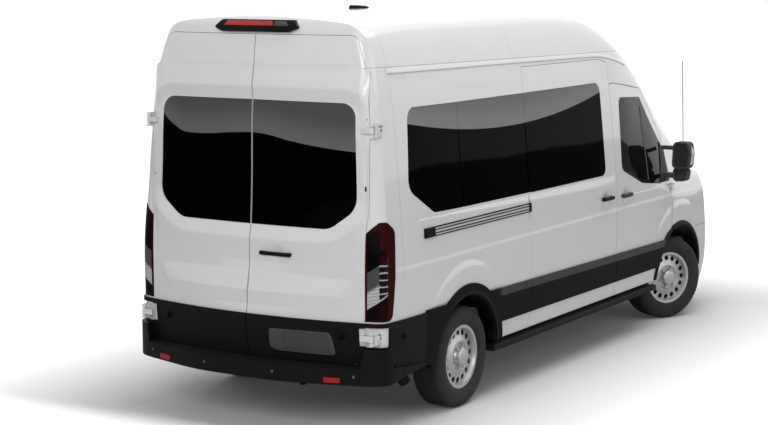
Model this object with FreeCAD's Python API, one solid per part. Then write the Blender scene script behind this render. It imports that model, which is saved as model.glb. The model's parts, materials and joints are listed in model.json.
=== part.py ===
import FreeCAD, Part
import math
import os
from FreeCAD import Vector

os.makedirs("parts", exist_ok=True)

# Sizes in mm. X runs forward, Y to the left, Z up, with the ground at Z = 0.
wheelbase = 3750.0
front_overhang = 1023.0
rear_overhang = 1307.0
body_width = 2059.0
roof_height = 2750.0
wall = 65.0
roof_part_of_wall = 0.62
door_gap = 3.0
door_air = 6.0
frame_depth = 40.0
glass_thickness = 6.0
cladding_thickness = 14.0
floor_top = 700.0
floor_thickness = 40.0
tyre_diameter = 712.0
tyre_width = 235.0
rim_radius = 223.0
front_track = 1732.0
rear_track = 1743.0
kingpin_inset = 30.0
rest_steer = 27.0
arch_radius = 440.0
trim_radius = 520.0
pin_radius = 6.0
pin_play = 0.3
vent_count = 16
lug_count = 6
seat_rows = [-2250.0, -1400.0, -550.0, 250.0]

total_length = rear_overhang + wheelbase + front_overhang
rear_end = -total_length / 2
rear_axle = rear_end + rear_overhang
front_axle = rear_axle + wheelbase
wheel_z = tyre_diameter / 2


def lx(x):
    """Place a length read from the drawing on the real wheelbase and overhangs."""
    if x < -1733.0:
        return rear_axle + (x + 1733.0) * rear_overhang / 1307.0
    if x > 2017.0:
        return front_axle + (x - 2017.0) * front_overhang / 1023.0
    return rear_axle + (x + 1733.0) * wheelbase / 3750.0


def wy(y):
    return y * body_width / 2059.0


def hz(z):
    """Heights above the belt stretch with the roof."""
    if z < 1400.0:
        return z
    return 1400.0 + (z - 1400.0) * (roof_height - 1400.0) / 1350.0


def pt(x, y, z):
    return Vector(lx(x), wy(y), hz(z))


def curve(points):
    """Smooth line through points that never swings past them."""
    xs = [p[0] for p in points]
    ys = [p[1] for p in points]
    count = len(xs)
    slope = [(ys[i + 1] - ys[i]) / (xs[i + 1] - xs[i]) for i in range(count - 1)]
    rate = [slope[0]]
    for i in range(1, count - 1):
        a = slope[i - 1]
        b = slope[i]
        rate.append(2 * a * b / (a + b) if a * b > 0 else 0.0)
    rate.append(slope[-1])

    def value(x):
        if x <= xs[0]:
            return ys[0] + rate[0] * (x - xs[0])
        if x >= xs[-1]:
            return ys[-1] + rate[-1] * (x - xs[-1])
        i = 0
        while x > xs[i + 1]:
            i += 1
        h = xs[i + 1] - xs[i]
        t = (x - xs[i]) / h
        first = ys[i] * (1 + 2 * t) * (1 - t) ** 2 + h * rate[i] * t * (1 - t) ** 2
        return first + ys[i + 1] * t * t * (3 - 2 * t) + h * rate[i + 1] * t * t * (t - 1)
    return value


def smooth(a, b, x):
    t = min(1.0, max(0.0, (x - a) / (b - a)))
    return t * t * (3 - 2 * t)


# Outlines read from the photo: half width by height, top line by length.
half_width = curve([(330, 985), (450, 1003), (600, 1013), (800, 1018), (1000, 1017), (1150, 1012),
                    (1300, 1005), (1400, 998), (1600, 982), (1800, 965), (2000, 947), (2130, 934),
                    (2340, 905), (2400, 894), (2550, 848)])
cab_top = curve([(-3000, 2712), (-2700, 2728), (-2350, 2740), (-1800, 2748), (-600, 2750),
                 (0, 2742), (300, 2724), (544, 2690), (879, 2556), (1196, 2378), (1528, 2143),
                 (1916, 1850), (2193, 1635), (2356, 1508), (2480, 1410)])
nose_top = curve([(1650, 1470), (2000, 1440), (2400, 1392), (2510, 1366), (2750, 1285),
                  (2930, 1165), (3000, 1095), (3080, 1000)])
tail_line = curve([(300, -2868), (485, -2898), (600, -2916), (769, -2928), (900, -2912),
                   (1000, -2900), (1348, -2868), (1700, -2850), (2187, -2830), (2400, -2812),
                   (2611, -2784), (2665, -2768), (2705, -2738), (2735, -2680), (2760, -2560)])
tail_bow = curve([(300, 100), (769, 98), (1000, 72), (1348, 54), (2187, 60), (2611, 72),
                  (2760, 90)])
nose_line = curve([(240, 2950), (300, 2990), (400, 3026), (560, 3040), (700, 3032), (900, 3000),
                   (1100, 2962), (1200, 2930), (1450, 2830)])


def side_y(x, z, inset):
    cab = 130 * smooth(700, 2300, x) * smooth(1000, 2000, z)
    cab += 60 * smooth(1500, 2450, x) * smooth(1000, 1400, z)
    tail = 28 * max(0.0, (-2350 - x) / 450) ** 2
    return half_width(z) - cab - tail - inset


def section(x, inset, foot, nose):
    """Half cross section of the body at one length, from the foot up to the middle."""
    if nose:
        top = nose_top(x) - inset * roof_part_of_wall
        radius = 120.0
        drop = 95.0
    else:
        top = cab_top(x) - inset * roof_part_of_wall
        radius = 150.0 - 65.0 * smooth(300, 1500, x)
        drop = 58.0 + 60.0 * smooth(200, 1500, x)
    radius = max(radius - inset * 0.5, 40.0)
    reach = side_y(x, top - drop, inset)
    corner_z = top - drop
    for step in range(20):
        corner_y = side_y(x, corner_z, inset)
        corner_z = top - drop * (corner_y / reach) ** 2
    shoulder = corner_z - radius
    low = [foot, 450, 600, 800, 1000] if nose else [foot, 450, 600, 800, 1000, 1080]
    base = low[-1]
    levels = low + [base + (shoulder - base) * (i + 1) / 6 for i in range(6)]
    line = [(side_y(x, z, inset), z) for z in levels]
    p0 = line[-1]
    y2 = corner_y - radius
    p2 = (y2, top - drop * (y2 / reach) ** 2)
    for t in (0.25, 0.5, 0.75):
        a = (1 - t) ** 2
        b = 2 * t * (1 - t)
        c = t * t
        line.append((a * p0[0] + b * corner_y + c * p2[0], a * p0[1] + b * corner_z + c * p2[1]))
    for i in range(5):
        y = y2 * (1 - i / 4)
        line.append((y, top - drop * (y / reach) ** 2))
    return line


def loft_body(stations, inset, foot, nose):
    rows = []
    for x in stations:
        half = section(x, inset, foot, nose)
        row = [pt(x, -y, z) for y, z in half]
        row += [pt(x, y, z) for y, z in reversed(half[:-1])]
        rows.append(row)
    ref = rows[len(rows) // 2]
    along = [0.0]
    for a, b in zip(ref, ref[1:]):
        along.append(along[-1] + (b - a).Length)
    steps = [a / along[-1] for a in along]
    wires = []
    for row in rows:
        line = Part.BSplineCurve()
        line.interpolate(Points=row, Parameters=steps)
        wires.append(Part.Wire([line.toShape(), Part.makeLine(row[-1], row[0])]))
    return Part.makeLoft(wires, True, False)


def end_block(line, bow, inset, sign, heights, radius, back):
    """Block whose end face is bowed in plan and runs round both corners."""
    wires = []
    for z in heights:
        tip = line(z) - sign * inset
        arc = 860.0 ** 2 / (2 * bow(z)) + bow(z) / 2
        r = max(radius - inset * 0.5, 30.0)
        yc = 800.0
        xc = tip - sign * 200
        for step in range(25):
            lean = math.asin(min(0.9, yc / (arc - r)))
            xc = tip - sign * (arc - math.cos(lean) * (arc - r))
            reach = side_y(xc, z, inset)
            slope = (side_y(xc - sign * 20, z, inset) - side_y(xc + sign * 20, z, inset)) / 40
            turn = math.atan(slope)
            yc = reach - r * math.cos(turn) + 0.8
        a = Vector(tip, 0, z)
        b = Vector(xc + sign * r * math.cos(lean), yc + r * math.sin(lean), z)
        mid = (lean + math.pi / 2 - turn) / 2
        m = Vector(xc + sign * r * math.cos(mid), yc + r * math.sin(mid), z)
        c = Vector(xc + sign * r * math.sin(turn), yc + r * math.cos(turn), z)
        d = Vector(back, c.y + abs(back - c.x) * math.sin(turn + 0.02), z)
        flip = [pt(p.x, -p.y, p.z) for p in (b, m, c, d)]
        b, m, c, d = [pt(p.x, p.y, p.z) for p in (b, m, c, d)]
        a = pt(a.x, 0, z)
        edges = [Part.Arc(flip[0], a, b).toShape(), Part.Arc(b, m, c).toShape(),
                 Part.makeLine(c, d), Part.makeLine(d, flip[3]), Part.makeLine(flip[3], flip[2]),
                 Part.Arc(flip[2], flip[1], flip[0]).toShape()]
        wires.append(Part.Wire(edges))
    return Part.makeLoft(wires, True, False)


cab_stations = [-3000, -2700, -2350, -1800, -1200, -600, 0, 300, 600, 900, 1200, 1550, 1900,
                2200, 2480]
nose_stations = [1650, 1850, 2100, 2350, 2600, 2800, 2950, 3080]
tail_heights = [300, 485, 600, 769, 900, 1000, 1348, 1800, 2187, 2400, 2611, 2665, 2705, 2735,
                2760]
nose_heights = [240, 300, 400, 560, 700, 900, 1100, 1250, 1450]
nose_bow = curve([(240, 150), (560, 190), (1000, 200), (1450, 210)])
made = {}


def cab(inset):
    """The whole rear and cabin form, moved inwards by an inset."""
    key = ("cab", inset)
    if key not in made:
        body = loft_body(cab_stations, inset, 330.0, False)
        tail = end_block(tail_line, tail_bow, inset, -1, tail_heights, 95.0, 2800.0)
        made[key] = body.common(tail)
    return made[key]


def nose(inset):
    key = ("nose", inset)
    if key not in made:
        body = loft_body(nose_stations, inset, 240.0, True)
        tip = end_block(nose_line, nose_bow, inset, 1, nose_heights, 330.0, 1500.0)
        made[key] = body.common(tip)
    return made[key]


def skin(form, outer, inner):
    key = (form.__name__, outer, inner)
    if key not in made:
        made[key] = form(outer).cut(form(inner))
    return made[key]


def corners(points, radius):
    """Cut each corner of an outline by an arc."""
    cut = []
    count = len(points)
    for i in range(count):
        p = points[i]
        r = p[2] if len(p) > 2 else radius
        a = points[i - 1]
        b = points[(i + 1) % count]
        la = math.hypot(a[0] - p[0], a[1] - p[1])
        lb = math.hypot(b[0] - p[0], b[1] - p[1])
        ua = ((a[0] - p[0]) / la, (a[1] - p[1]) / la)
        ub = ((b[0] - p[0]) / lb, (b[1] - p[1]) / lb)
        dot = max(-0.9999, min(0.9999, ua[0] * ub[0] + ua[1] * ub[1]))
        half = math.acos(dot) / 2
        back = min(r / math.tan(half), la * 0.49, lb * 0.49)
        if r <= 0 or back < 0.5:
            cut.append([(p[0], p[1])])
            continue
        real = back * math.tan(half)
        reach = real / math.sin(half) - real
        ux = ua[0] + ub[0]
        uy = ua[1] + ub[1]
        size = math.hypot(ux, uy)
        mid = (p[0] + ux / size * reach, p[1] + uy / size * reach)
        cut.append([(p[0] + ua[0] * back, p[1] + ua[1] * back), mid,
                    (p[0] + ub[0] * back, p[1] + ub[1] * back)])
    return cut


def prism(points, plane, low, high, radius=0.0):
    """Outline in one plane, pushed along the third direction."""
    def place(p):
        if plane == "xz":
            return pt(p[0], low, p[1])
        if plane == "yz":
            return pt(low, p[0], p[1])
        return pt(p[0], p[1], low)
    if plane == "xz":
        push = pt(0, high, 1000) - pt(0, low, 1000)
    elif plane == "yz":
        push = pt(high, 0, 1000) - pt(low, 0, 1000)
    else:
        push = pt(0, 0, high) - pt(0, 0, low)
    cut = corners(points, radius)
    edges = []
    for i in range(len(cut)):
        now = cut[i]
        if len(now) == 3:
            edges.append(Part.Arc(place(now[0]), place(now[1]), place(now[2])).toShape())
        a = place(now[-1])
        b = place(cut[(i + 1) % len(cut)][0])
        if (b - a).Length > 0.01:
            edges.append(Part.makeLine(a, b))
    return Part.Face(Part.Wire(edges)).extrude(push)


def grow(points, d):
    """Move every side of an outline outwards."""
    area = sum(points[i - 1][0] * points[i][1] - points[i][0] * points[i - 1][1]
               for i in range(len(points)))
    s = 1 if area > 0 else -1
    out = []
    count = len(points)
    for i in range(count):
        a = points[i - 1]
        p = points[i]
        b = points[(i + 1) % count]
        u = (p[0] - a[0], p[1] - a[1])
        v = (b[0] - p[0], b[1] - p[1])
        lu = math.hypot(*u)
        lv = math.hypot(*v)
        n1 = (u[1] / lu * s, -u[0] / lu * s)
        n2 = (v[1] / lv * s, -v[0] / lv * s)
        k = 1 + n1[0] * n2[0] + n1[1] * n2[1]
        q = (p[0] + (n1[0] + n2[0]) / k * d, p[1] + (n1[1] + n2[1]) / k * d)
        if len(p) > 2:
            q = (q[0], q[1], max(p[2] + d, 1.0))
        out.append(q)
    return out


def box(x0, x1, y0, y1, z0, z1):
    a = pt(x0, y0, z0)
    b = pt(x1, y1, z1)
    return Part.makeBox(b.x - a.x, b.y - a.y, b.z - a.z, a)


def rod(start, end, radius):
    line = end - start
    return Part.makeCylinder(radius, line.Length, start, line)


def fuse(shapes):
    return shapes[0].multiFuse(shapes[1:]) if len(shapes) > 1 else shapes[0]


def mirror(shape):
    return shape.mirror(Vector(0, 0, 0), Vector(0, 1, 0))


def save(name, shape):
    shape = shape.removeSplitter() if hasattr(shape, "removeSplitter") else shape
    shape.exportStep("parts/" + name + ".step")


# Outlines of the side, in length and height.
door_front = [(703, 402), (703, 600), (728, 1000), (745, 1280), (728, 1500), (706, 2107),
              (790, 2112), (1372, 2036), (1440, 1992), (1850, 1600), (1853, 1300), (1850, 402)]
door_slide = [(-800, 402), (-778, 1000), (-768, 1400), (-766, 2318), (540, 2314), (684, 2285),
              (699, 2107), (722, 1500), (739, 1280), (722, 1000), (697, 600), (697, 402)]
rear_door_depth = [(-3200, 300), (-2725, 300), (-2725, 800), (-2745, 1350), (-2735, 2187),
                   (-2690, 2450), (-2650, 2900), (-3200, 2900)]
front_window = [(848, 1410, 60), (1245, 1262, 200), (1655, 1214, 30), (1772, 1560, 20),
                (1378, 1966, 60), (868, 1996, 60)]
pane_slide = [(-763, 1402, 6), (-763, 2132, 6), (522, 2135, 90), (546, 1398, 70)]
pane_middle = [(-1757, 1412, 4), (-1757, 2132, 4), (-775, 2132, 6), (-775, 1405, 6)]
pane_rear = [(-2464, 1600, 110), (-2409, 2136, 90), (-1761, 2132, 4), (-1761, 1412, 4),
             (-2160, 1420, 110)]
roof_line = [(-3100, 2345), (560, 2322), (1072, 2228), (1420, 2128), (2200, 2100), (2200, 3000),
             (-3100, 3000)]
rear_door = [(0, 487), (800, 487, 60), (872, 600, 60), (868, 769), (868, 1351), (884, 1500),
             (880, 2015), (850, 2350, 60), (757, 2611, 60), (0, 2611)]
rear_window = [(4, 1362), (606, 1362, 150), (800, 1502, 150), (778, 2182, 100), (4, 2187)]
lamp_rear = [(871, 779), (1150, 779), (1150, 1424), (950, 1424), (871, 1353)]
lamp_side = [(-3000, 779), (-2706, 779, 50), (-2668, 1060, 80), (-2654, 1365, 60),
             (-2730, 1424, 30), (-3000, 1424)]
screen_low = 1415.0


def arch(x, radius, y0, y1):
    return Part.makeCylinder(radius, wy(y1) - wy(y0), Vector(x, wy(y0), wheel_z), Vector(0, 1, 0))


def rear_outline():
    return ([(-p[0],) + tuple(p[1:]) for p in reversed(rear_door[1:-1])] + rear_door[1:-1])


def window_cuts(line, plane, low, high, margin=28.0):
    pocket = prism(line, plane, low, high).cut(cab(2 + glass_thickness))
    return [pocket, prism(grow(line, -margin), plane, low, high)]


def pane(line, plane, low, high):
    block = prism(grow(line, -1.5), plane, low, high)
    return block.common(cab(2)).cut(cab(2 + glass_thickness))


def rear_opening(extra):
    """Block that the pair of rear doors fills, larger by a gap all round."""
    block = prism(grow(rear_outline(), extra), "yz", -3200, -2600)
    return block.common(prism(grow(rear_door_depth, extra), "xz", -1300, 1300))


def both(shape):
    return Part.Compound([shape, mirror(shape)])


def hinge_axis(sign):
    low = pt(hinge_low[0], sign * hinge_low[1], hinge_low[2])
    high = pt(hinge_high[0], sign * hinge_high[1], hinge_high[2])
    return low, (high - low).normalize()


hinge_low = (-2856, 935, 676)
hinge_high = (-2796, 905, 2015)
bonnet_hinge_z = 1288.0
jack_pads = (1450, -700)
door_pin = (1841, 1016)
door_hinges = (870, 1170)
pane_left = [(-772, 1402, 6), (-772, 2132, 6), (522, 2135, 90), (546, 1398, 70)]
band_rear = [(-2306, 403), (-2306, 783), (-1733, 776), (-1733, 403)]
band_side = [(-1733, 528), (-1733, 780), (1720, 727), (1720, 511)]
screen = [(-808, 1422, 40), (808, 1422, 40), (738, 2080, 70), (-738, 2080, 70)]
bonnet_plan = [(2512, -745), (2512, 745), (2800, 720), (3100, 600), (3100, -600), (2800, -720)]
lamp_front = [(452, 1092, 10), (452, 930, 40), (560, 868, 60), (850, 900, 60), (1010, 1010, 40),
              (1010, 1165, 30), (930, 1196, 30)]
grille_front = [(-440, 800, 60), (440, 800, 60), (440, 1098, 20), (-440, 1098, 20)]


def side_panels():
    """Side walls with their door frames, the roof, the sliding door, lamps and side glass."""
    above = prism(roof_line, "xz", -1300, 1300)
    whole = box(-3200, 3000, 0, 1300, 200, 2900)
    half = cab(0).common(whole).cut(cab(wall))
    band = cab(wall).common(box(-3200, 3000, 0, 1300, floor_top, 2900)).cut(cab(wall + 46))
    g = door_gap
    edge = [(-3200, 200), (703 - g, 200), (703 - g, 600), (728 - g, 1000), (745 - g, 1280),
            (728 - g, 1500), (706 - g, 2107), (706 - g, 2700), (-3200, 2700)]
    behind = prism(edge, "xz", -1300, 1300)
    opening = rear_opening(g)
    lamp = prism(lamp_side, "xz", 700, 1300).common(prism(lamp_rear, "yz", -3200, -2500))
    pocket = lamp.cut(cab(wall - 10))
    low = box(-3300, 3300, -1300, 1300, 100, 402)
    cuts = [opening, pocket, low, arch(rear_axle, arch_radius, -1300, 1300),
            box(-3300, -2675, -1300, 1300, 100, 487)]
    for line in (pane_rear, pane_middle):
        cuts += window_cuts(line, "xz", 600, 1300)
    shared = half.cut(above).common(behind).cut(cuts)
    left = shared.cut(window_cuts(pane_left, "xz", 600, 1300))
    right = mirror(shared).cut(prism(grow(door_slide, g), "xz", -1300, -600))
    rear_ring = prism(grow(rear_outline(), 60), "yz", -3200, -2500)
    rear_ring = rear_ring.cut([prism(grow(rear_outline(), -frame_depth), "yz", -3200, -2500),
                               above])
    rear_ring = band.common(rear_ring)
    front_ring = prism(grow(door_front, 60), "xz", 300, 1300)
    front_ring = front_ring.cut([prism(grow(door_front, -frame_depth), "xz", 300, 1300), above,
                                 box(1380, 3000, 0, 1400, 0, 3000)])
    front_ring = band.common(front_ring)
    slide_ring = prism(grow(door_slide, 60), "xz", 300, 1300)
    slide_ring = slide_ring.cut([prism(grow(door_slide, -frame_depth), "xz", 300, 1300), above])
    slide_ring = band.common(slide_ring)
    save("body_side_left", left.fuse([rear_ring, front_ring]))
    save("body_side_right", right.fuse([mirror(rear_ring), mirror(front_ring),
                                        mirror(slide_ring)]))
    save("roof", cab(0).common(above).cut([cab(wall), opening]))
    ahead = half.cut([above, behind, box(-3200, 3000, 0, 1300, 100, 1262),
                      prism(grow(door_front, door_gap + 3), "xz", 300, 1300),
                      box(2330, 3000, 0, 1300, 100, 1375)])
    frame = ahead.cut(window_cuts(screen, "yz", 1300, 2700, 30.0))
    frame = frame.fuse(mirror(frame))
    cross = box(2190, 2300, -840, 840, 1300, 1395).common(cab(wall - 2))
    pillar = box(1870, 1990, 830, 900, 830, 1330)
    save("cab_front", frame.fuse([cross, pillar, mirror(pillar)]))
    save("windscreen", pane(screen, "yz", 1300, 2700))
    doors = cab(0).common(whole).cut(cab(wall - door_air))
    slide = mirror(doors).common(prism(door_slide, "xz", -1300, -600))
    save("sliding_door", slide.cut(window_cuts(pane_slide, "xz", -1300, -600)))
    panes = [pane(line, "xz", 600, 1300) for line in (pane_rear, pane_middle, pane_left)]
    panes += [mirror(panes[0]), mirror(panes[1]), pane(pane_slide, "xz", -1300, -600)]
    save("side_glass", Part.Compound(panes))
    front = doors.common(prism(door_front, "xz", 300, 1300))
    front = front.cut([arch(front_axle, arch_radius + 15, -1300, 1300)] +
                      window_cuts(front_window, "xz", 300, 1300))
    notch, arms, bores = door_knuckle()
    front = front.cut(notch).fuse(arms).cut(bores)
    save("front_door_left", front)
    save("front_door_right", mirror(front))
    glass = pane(front_window, "xz", 300, 1300)
    save("front_door_glass_left", glass)
    save("front_door_glass_right", mirror(glass))


def cladding():
    """Black lower panels: side bands, wheel arch trim, rear corners and rear door panels."""
    t = cladding_thickness
    skin_out = cab(-t).common(box(-3200, 1800, 0, 1300, 403, 900)).cut(cab(0))
    disc = arch(rear_axle, trim_radius, 500, 1300)
    shape = prism(band_rear, "xz", 500, 1300).fuse([prism(band_side, "xz", 500, 1300), disc])
    shape = shape.cut([arch(rear_axle, arch_radius, 500, 1300),
                       arch(front_axle, arch_radius + 15, 500, 1300)])
    side = skin_out.common(shape)
    door_part = side.common(box(703, 1800, 0, 1300, 300, 1000))
    body_part = side.common(box(-2306, 697, 0, 1300, 300, 1000))
    right = mirror(body_part).cut(box(-803, -797, -1300, 0, 300, 1000))
    save("side_cladding", Part.Compound([body_part, right]))
    thin = cab(-8).common(box(1500, 1845, 500, 1300, 403, 900)).cut(cab(0))
    ring = arch(front_axle, arch_radius + 60, 500, 1300).cut(arch(front_axle, arch_radius + 15,
                                                                  500, 1300))
    ring = thin.common(ring).cut(prism(band_side, "xz", 500, 1300))
    rear = skin_out.common(box(-3200, -2309, 0, 1300, 403, 769))
    opening = prism(grow(rear_outline(), door_gap), "yz", -3200, -2600)
    notch = box(-3000, -2740, 860, 1100, 610, 742)
    corner = rear.cut([opening, notch])
    panel = rear.common(prism(rear_door, "yz", -3200, -2600))
    panel = panel.cut([box(-3200, 0, -10, 3, 0, 3000), cab(-0.4)])
    return door_part, ring, corner, panel


def door_leaf(x0, x1, y0, y1):
    """Plates and round ends on the front door's pin, from z down to z up for each hinge."""
    x, y = door_pin
    made = []
    for z in door_hinges:
        for low, high in ((z - 30, z - 12), (z + 12, z + 30)):
            made += [box(x0, x1, y0, y1, low, high), box(x1 - 22, x1, y1 - 40, y1, low, high),
                     Part.makeCylinder(6, high - low, pt(x, y, low))]
        made.append(Part.makeCylinder(3, 60, pt(x, y, z - 30)))
    return made


def door_knuckle():
    x, y = door_pin
    notch = [box(x - 13, x + 15, y - 14, y + 24, z - 36, z + 36) for z in door_hinges]
    arms = [box(x - 26, x, y - 17, y - 3, z - 8, z + 8) for z in door_hinges]
    barrels = [Part.makeCylinder(6, 16, pt(x, y, z - 8)) for z in door_hinges]
    bores = [Part.makeCylinder(3.3, 60, pt(x, y, z - 30)) for z in door_hinges]
    return notch, arms + barrels, bores


def front_door_trim(door_part, ring):
    """Door cladding, handle, sail panel and the outside mirror, one set for each side."""
    sail = [(1762, 1560), (1640, 1226), (1845, 1222), (1845, 1480)]
    plate = prism(sail, "xz", 500, 1300).common(cab(-6)).cut(cab(0))
    grip = box(815, 985, 1000, 1042, 1186, 1216)
    grip = grip.makeChamfer(6.0, grip.Edges)
    grip = grip.cut(cab(0)).cut(box(842, 958, 990, 1025, 1150, 1250))
    arm = box(1705, 1790, 950, 1100, 1262, 1300).fuse(box(1715, 1780, 960, 1100, 1500, 1530))
    arm = arm.cut(cab(0))
    head = prism([(1070, 1345), (1226, 1345), (1236, 1470), (1222, 1572), (1082, 1572)], "yz",
                 1690, 1790, 40)
    foot = prism([(1082, 1232), (1196, 1240), (1216, 1350), (1076, 1350)], "yz", 1702, 1780, 34)
    faces = [prism([(1090, 1362), (1210, 1362), (1220, 1470), (1208, 1556), (1096, 1556)], "yz",
                   1680, 1700, 26), prism([(1096, 1250), (1184, 1256), (1200, 1338),
                                           (1092, 1338)], "yz", 1690, 1710, 22)]
    left = fuse([plate, arm, head.fuse(foot).cut(faces)])
    left = Part.Compound([left, door_part, ring, grip])
    save("front_door_trim_left", left)
    save("front_door_trim_right", mirror(left))


def knuckle(low, line, at, reach, radius):
    start = low + line * at
    return Part.makeCylinder(radius, reach, start, line)


def rear_doors(panel):
    outline = prism(rear_door, "yz", -3200, -2500)
    back = cab(0).common(outline.common(prism(rear_door_depth, "xz", -1300, 1300)))
    back = back.cut(cab(wall - door_air))
    back = back.cut([box(-3200, 0, -10, 3, 0, 3000)] +
                    window_cuts(rear_window, "yz", -3200, -2500))
    low, line = hinge_axis(1)
    up = (hinge_high[2] - hinge_low[2])
    straps = []
    brackets = []
    for at in (-20.0, up - 20.0):
        mid = low + line * (at + 20)
        leaf = Part.makeBox(12, 78, 36, Vector(mid.x - 15, mid.y - 78, mid.z - 18))
        pad = Part.makeBox(80, 32, 36, Vector(mid.x - 15, mid.y - 80, mid.z - 18))
        straps += [leaf, pad.cut(cab(10)).common(outline), knuckle(low, line, at, 40.0, 15.0)]
        plate = Part.makeBox(62, 52, 90, Vector(mid.x + 22, mid.y - 24, mid.z - 45))
        plate = plate.cut(cab(-0.4))
        near = cab(-0.4).common(box(-2776, -2600, 600, 1100, 500, 2200))
        ears = [Part.makeBox(46, 26, 22, Vector(mid.x - 8, mid.y - 13, mid.z + z)).cut(near)
                for z in (-48, 26)]
        ends = [knuckle(low, line, at + 20 - 48, 22.0, 15.0),
                knuckle(low, line, at + 20 + 26, 22.0, 15.0)]
        pin = knuckle(low, line, at + 20 - 48, 96.0, pin_radius)
        brackets.append(fuse([plate] + ears + ends + [pin]))
    bores = [knuckle(low, line, at - 40, 120.0, pin_radius + pin_play)
             for at in (-20.0, up - 20.0)]
    door = back.fuse(straps).cut(bores)
    save("rear_door_left", door)
    save("rear_door_right", mirror(door))
    save("rear_door_hinges", both(Part.Compound(brackets)))
    glass = pane(rear_window, "yz", -3200, -2500)
    save("rear_door_glass_left", glass)
    save("rear_door_glass_right", mirror(glass))
    room = [Part.makeBox(150, 130, 120, Vector(low.x - 80, low.y - 105, low.z - 60))]
    panel = panel.cut(room)
    save("rear_door_cladding_left", panel)
    grip = Part.makeBox(36, 246, 26, Vector(-2906, -333, 1165))
    hand = Part.makeBox(20, 160, 60, Vector(-2892, -290, 1150))
    grip = grip.makeFillet(8.0, grip.Edges).cut([hand, cab(0)])
    save("rear_door_cladding_right", Part.Compound([mirror(panel), grip]))


def rear_bumper(corner):
    outer = [(-3040, 0), (-3037, 279), (-2996, 500), (-2943, 685), (-2902, 828), (-2850, 950),
             (-2780, 1014), (-2690, 1026), (-2500, 1026), (-2309, 1022)]

    def slab(points, z0, z1):
        line = Part.BSplineCurve()
        row = [pt(x, -y, z0) for x, y in reversed(points[1:])] + [pt(x, y, z0) for x, y in points]
        line.interpolate(row)
        edge = line.toShape()
        face = Part.Face(Part.Wire([edge, Part.makeLine(row[-1], row[0])]))
        return face.extrude(Vector(0, 0, z1 - z0))
    inner = [(x + 36, y * 0.965) for x, y in outer]
    bar = slab(outer, 365, 475).cut(slab(inner, 340, 458))
    lip = [prism([(-2800, 477), (-2300, 428), (-2300, 500), (-2800, 500)], "xz", -1300, 1300),
           prism([(-2760, 300), (-2300, 300), (-2300, 416), (-2760, 366)], "xz", -1300, 1300)]
    side = cab(0).common(box(-2690, -2000, -1300, 1300, 300, 600))
    bar = bar.cut([box(-2760, -2000, -980, 980, 300, 500), side] + lip)
    post = slab(outer, 475, 598).common(box(-2960, -2750, 872, 1100, 475, 598))
    post = post.cut([prism([(860, 515), (876, 515), (892, 600), (860, 600)], "yz", -3100, -2700),
                     cab(-cladding_thickness)])
    stays = [box(-2996, -2740, y - 30, y + 30, 420, 459) for y in (-455, 455)]
    stays += [box(-2788, -2740, y - 30, y + 30, 420, 540) for y in (-455, 455)]
    wing = corner.cut([box(-3300, -2680, 0, 1300, 300, 475), bar])
    save("rear_bumper", Part.Compound([bar.fuse(stays), wing, mirror(wing), post,
                                       mirror(post)]))


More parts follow.
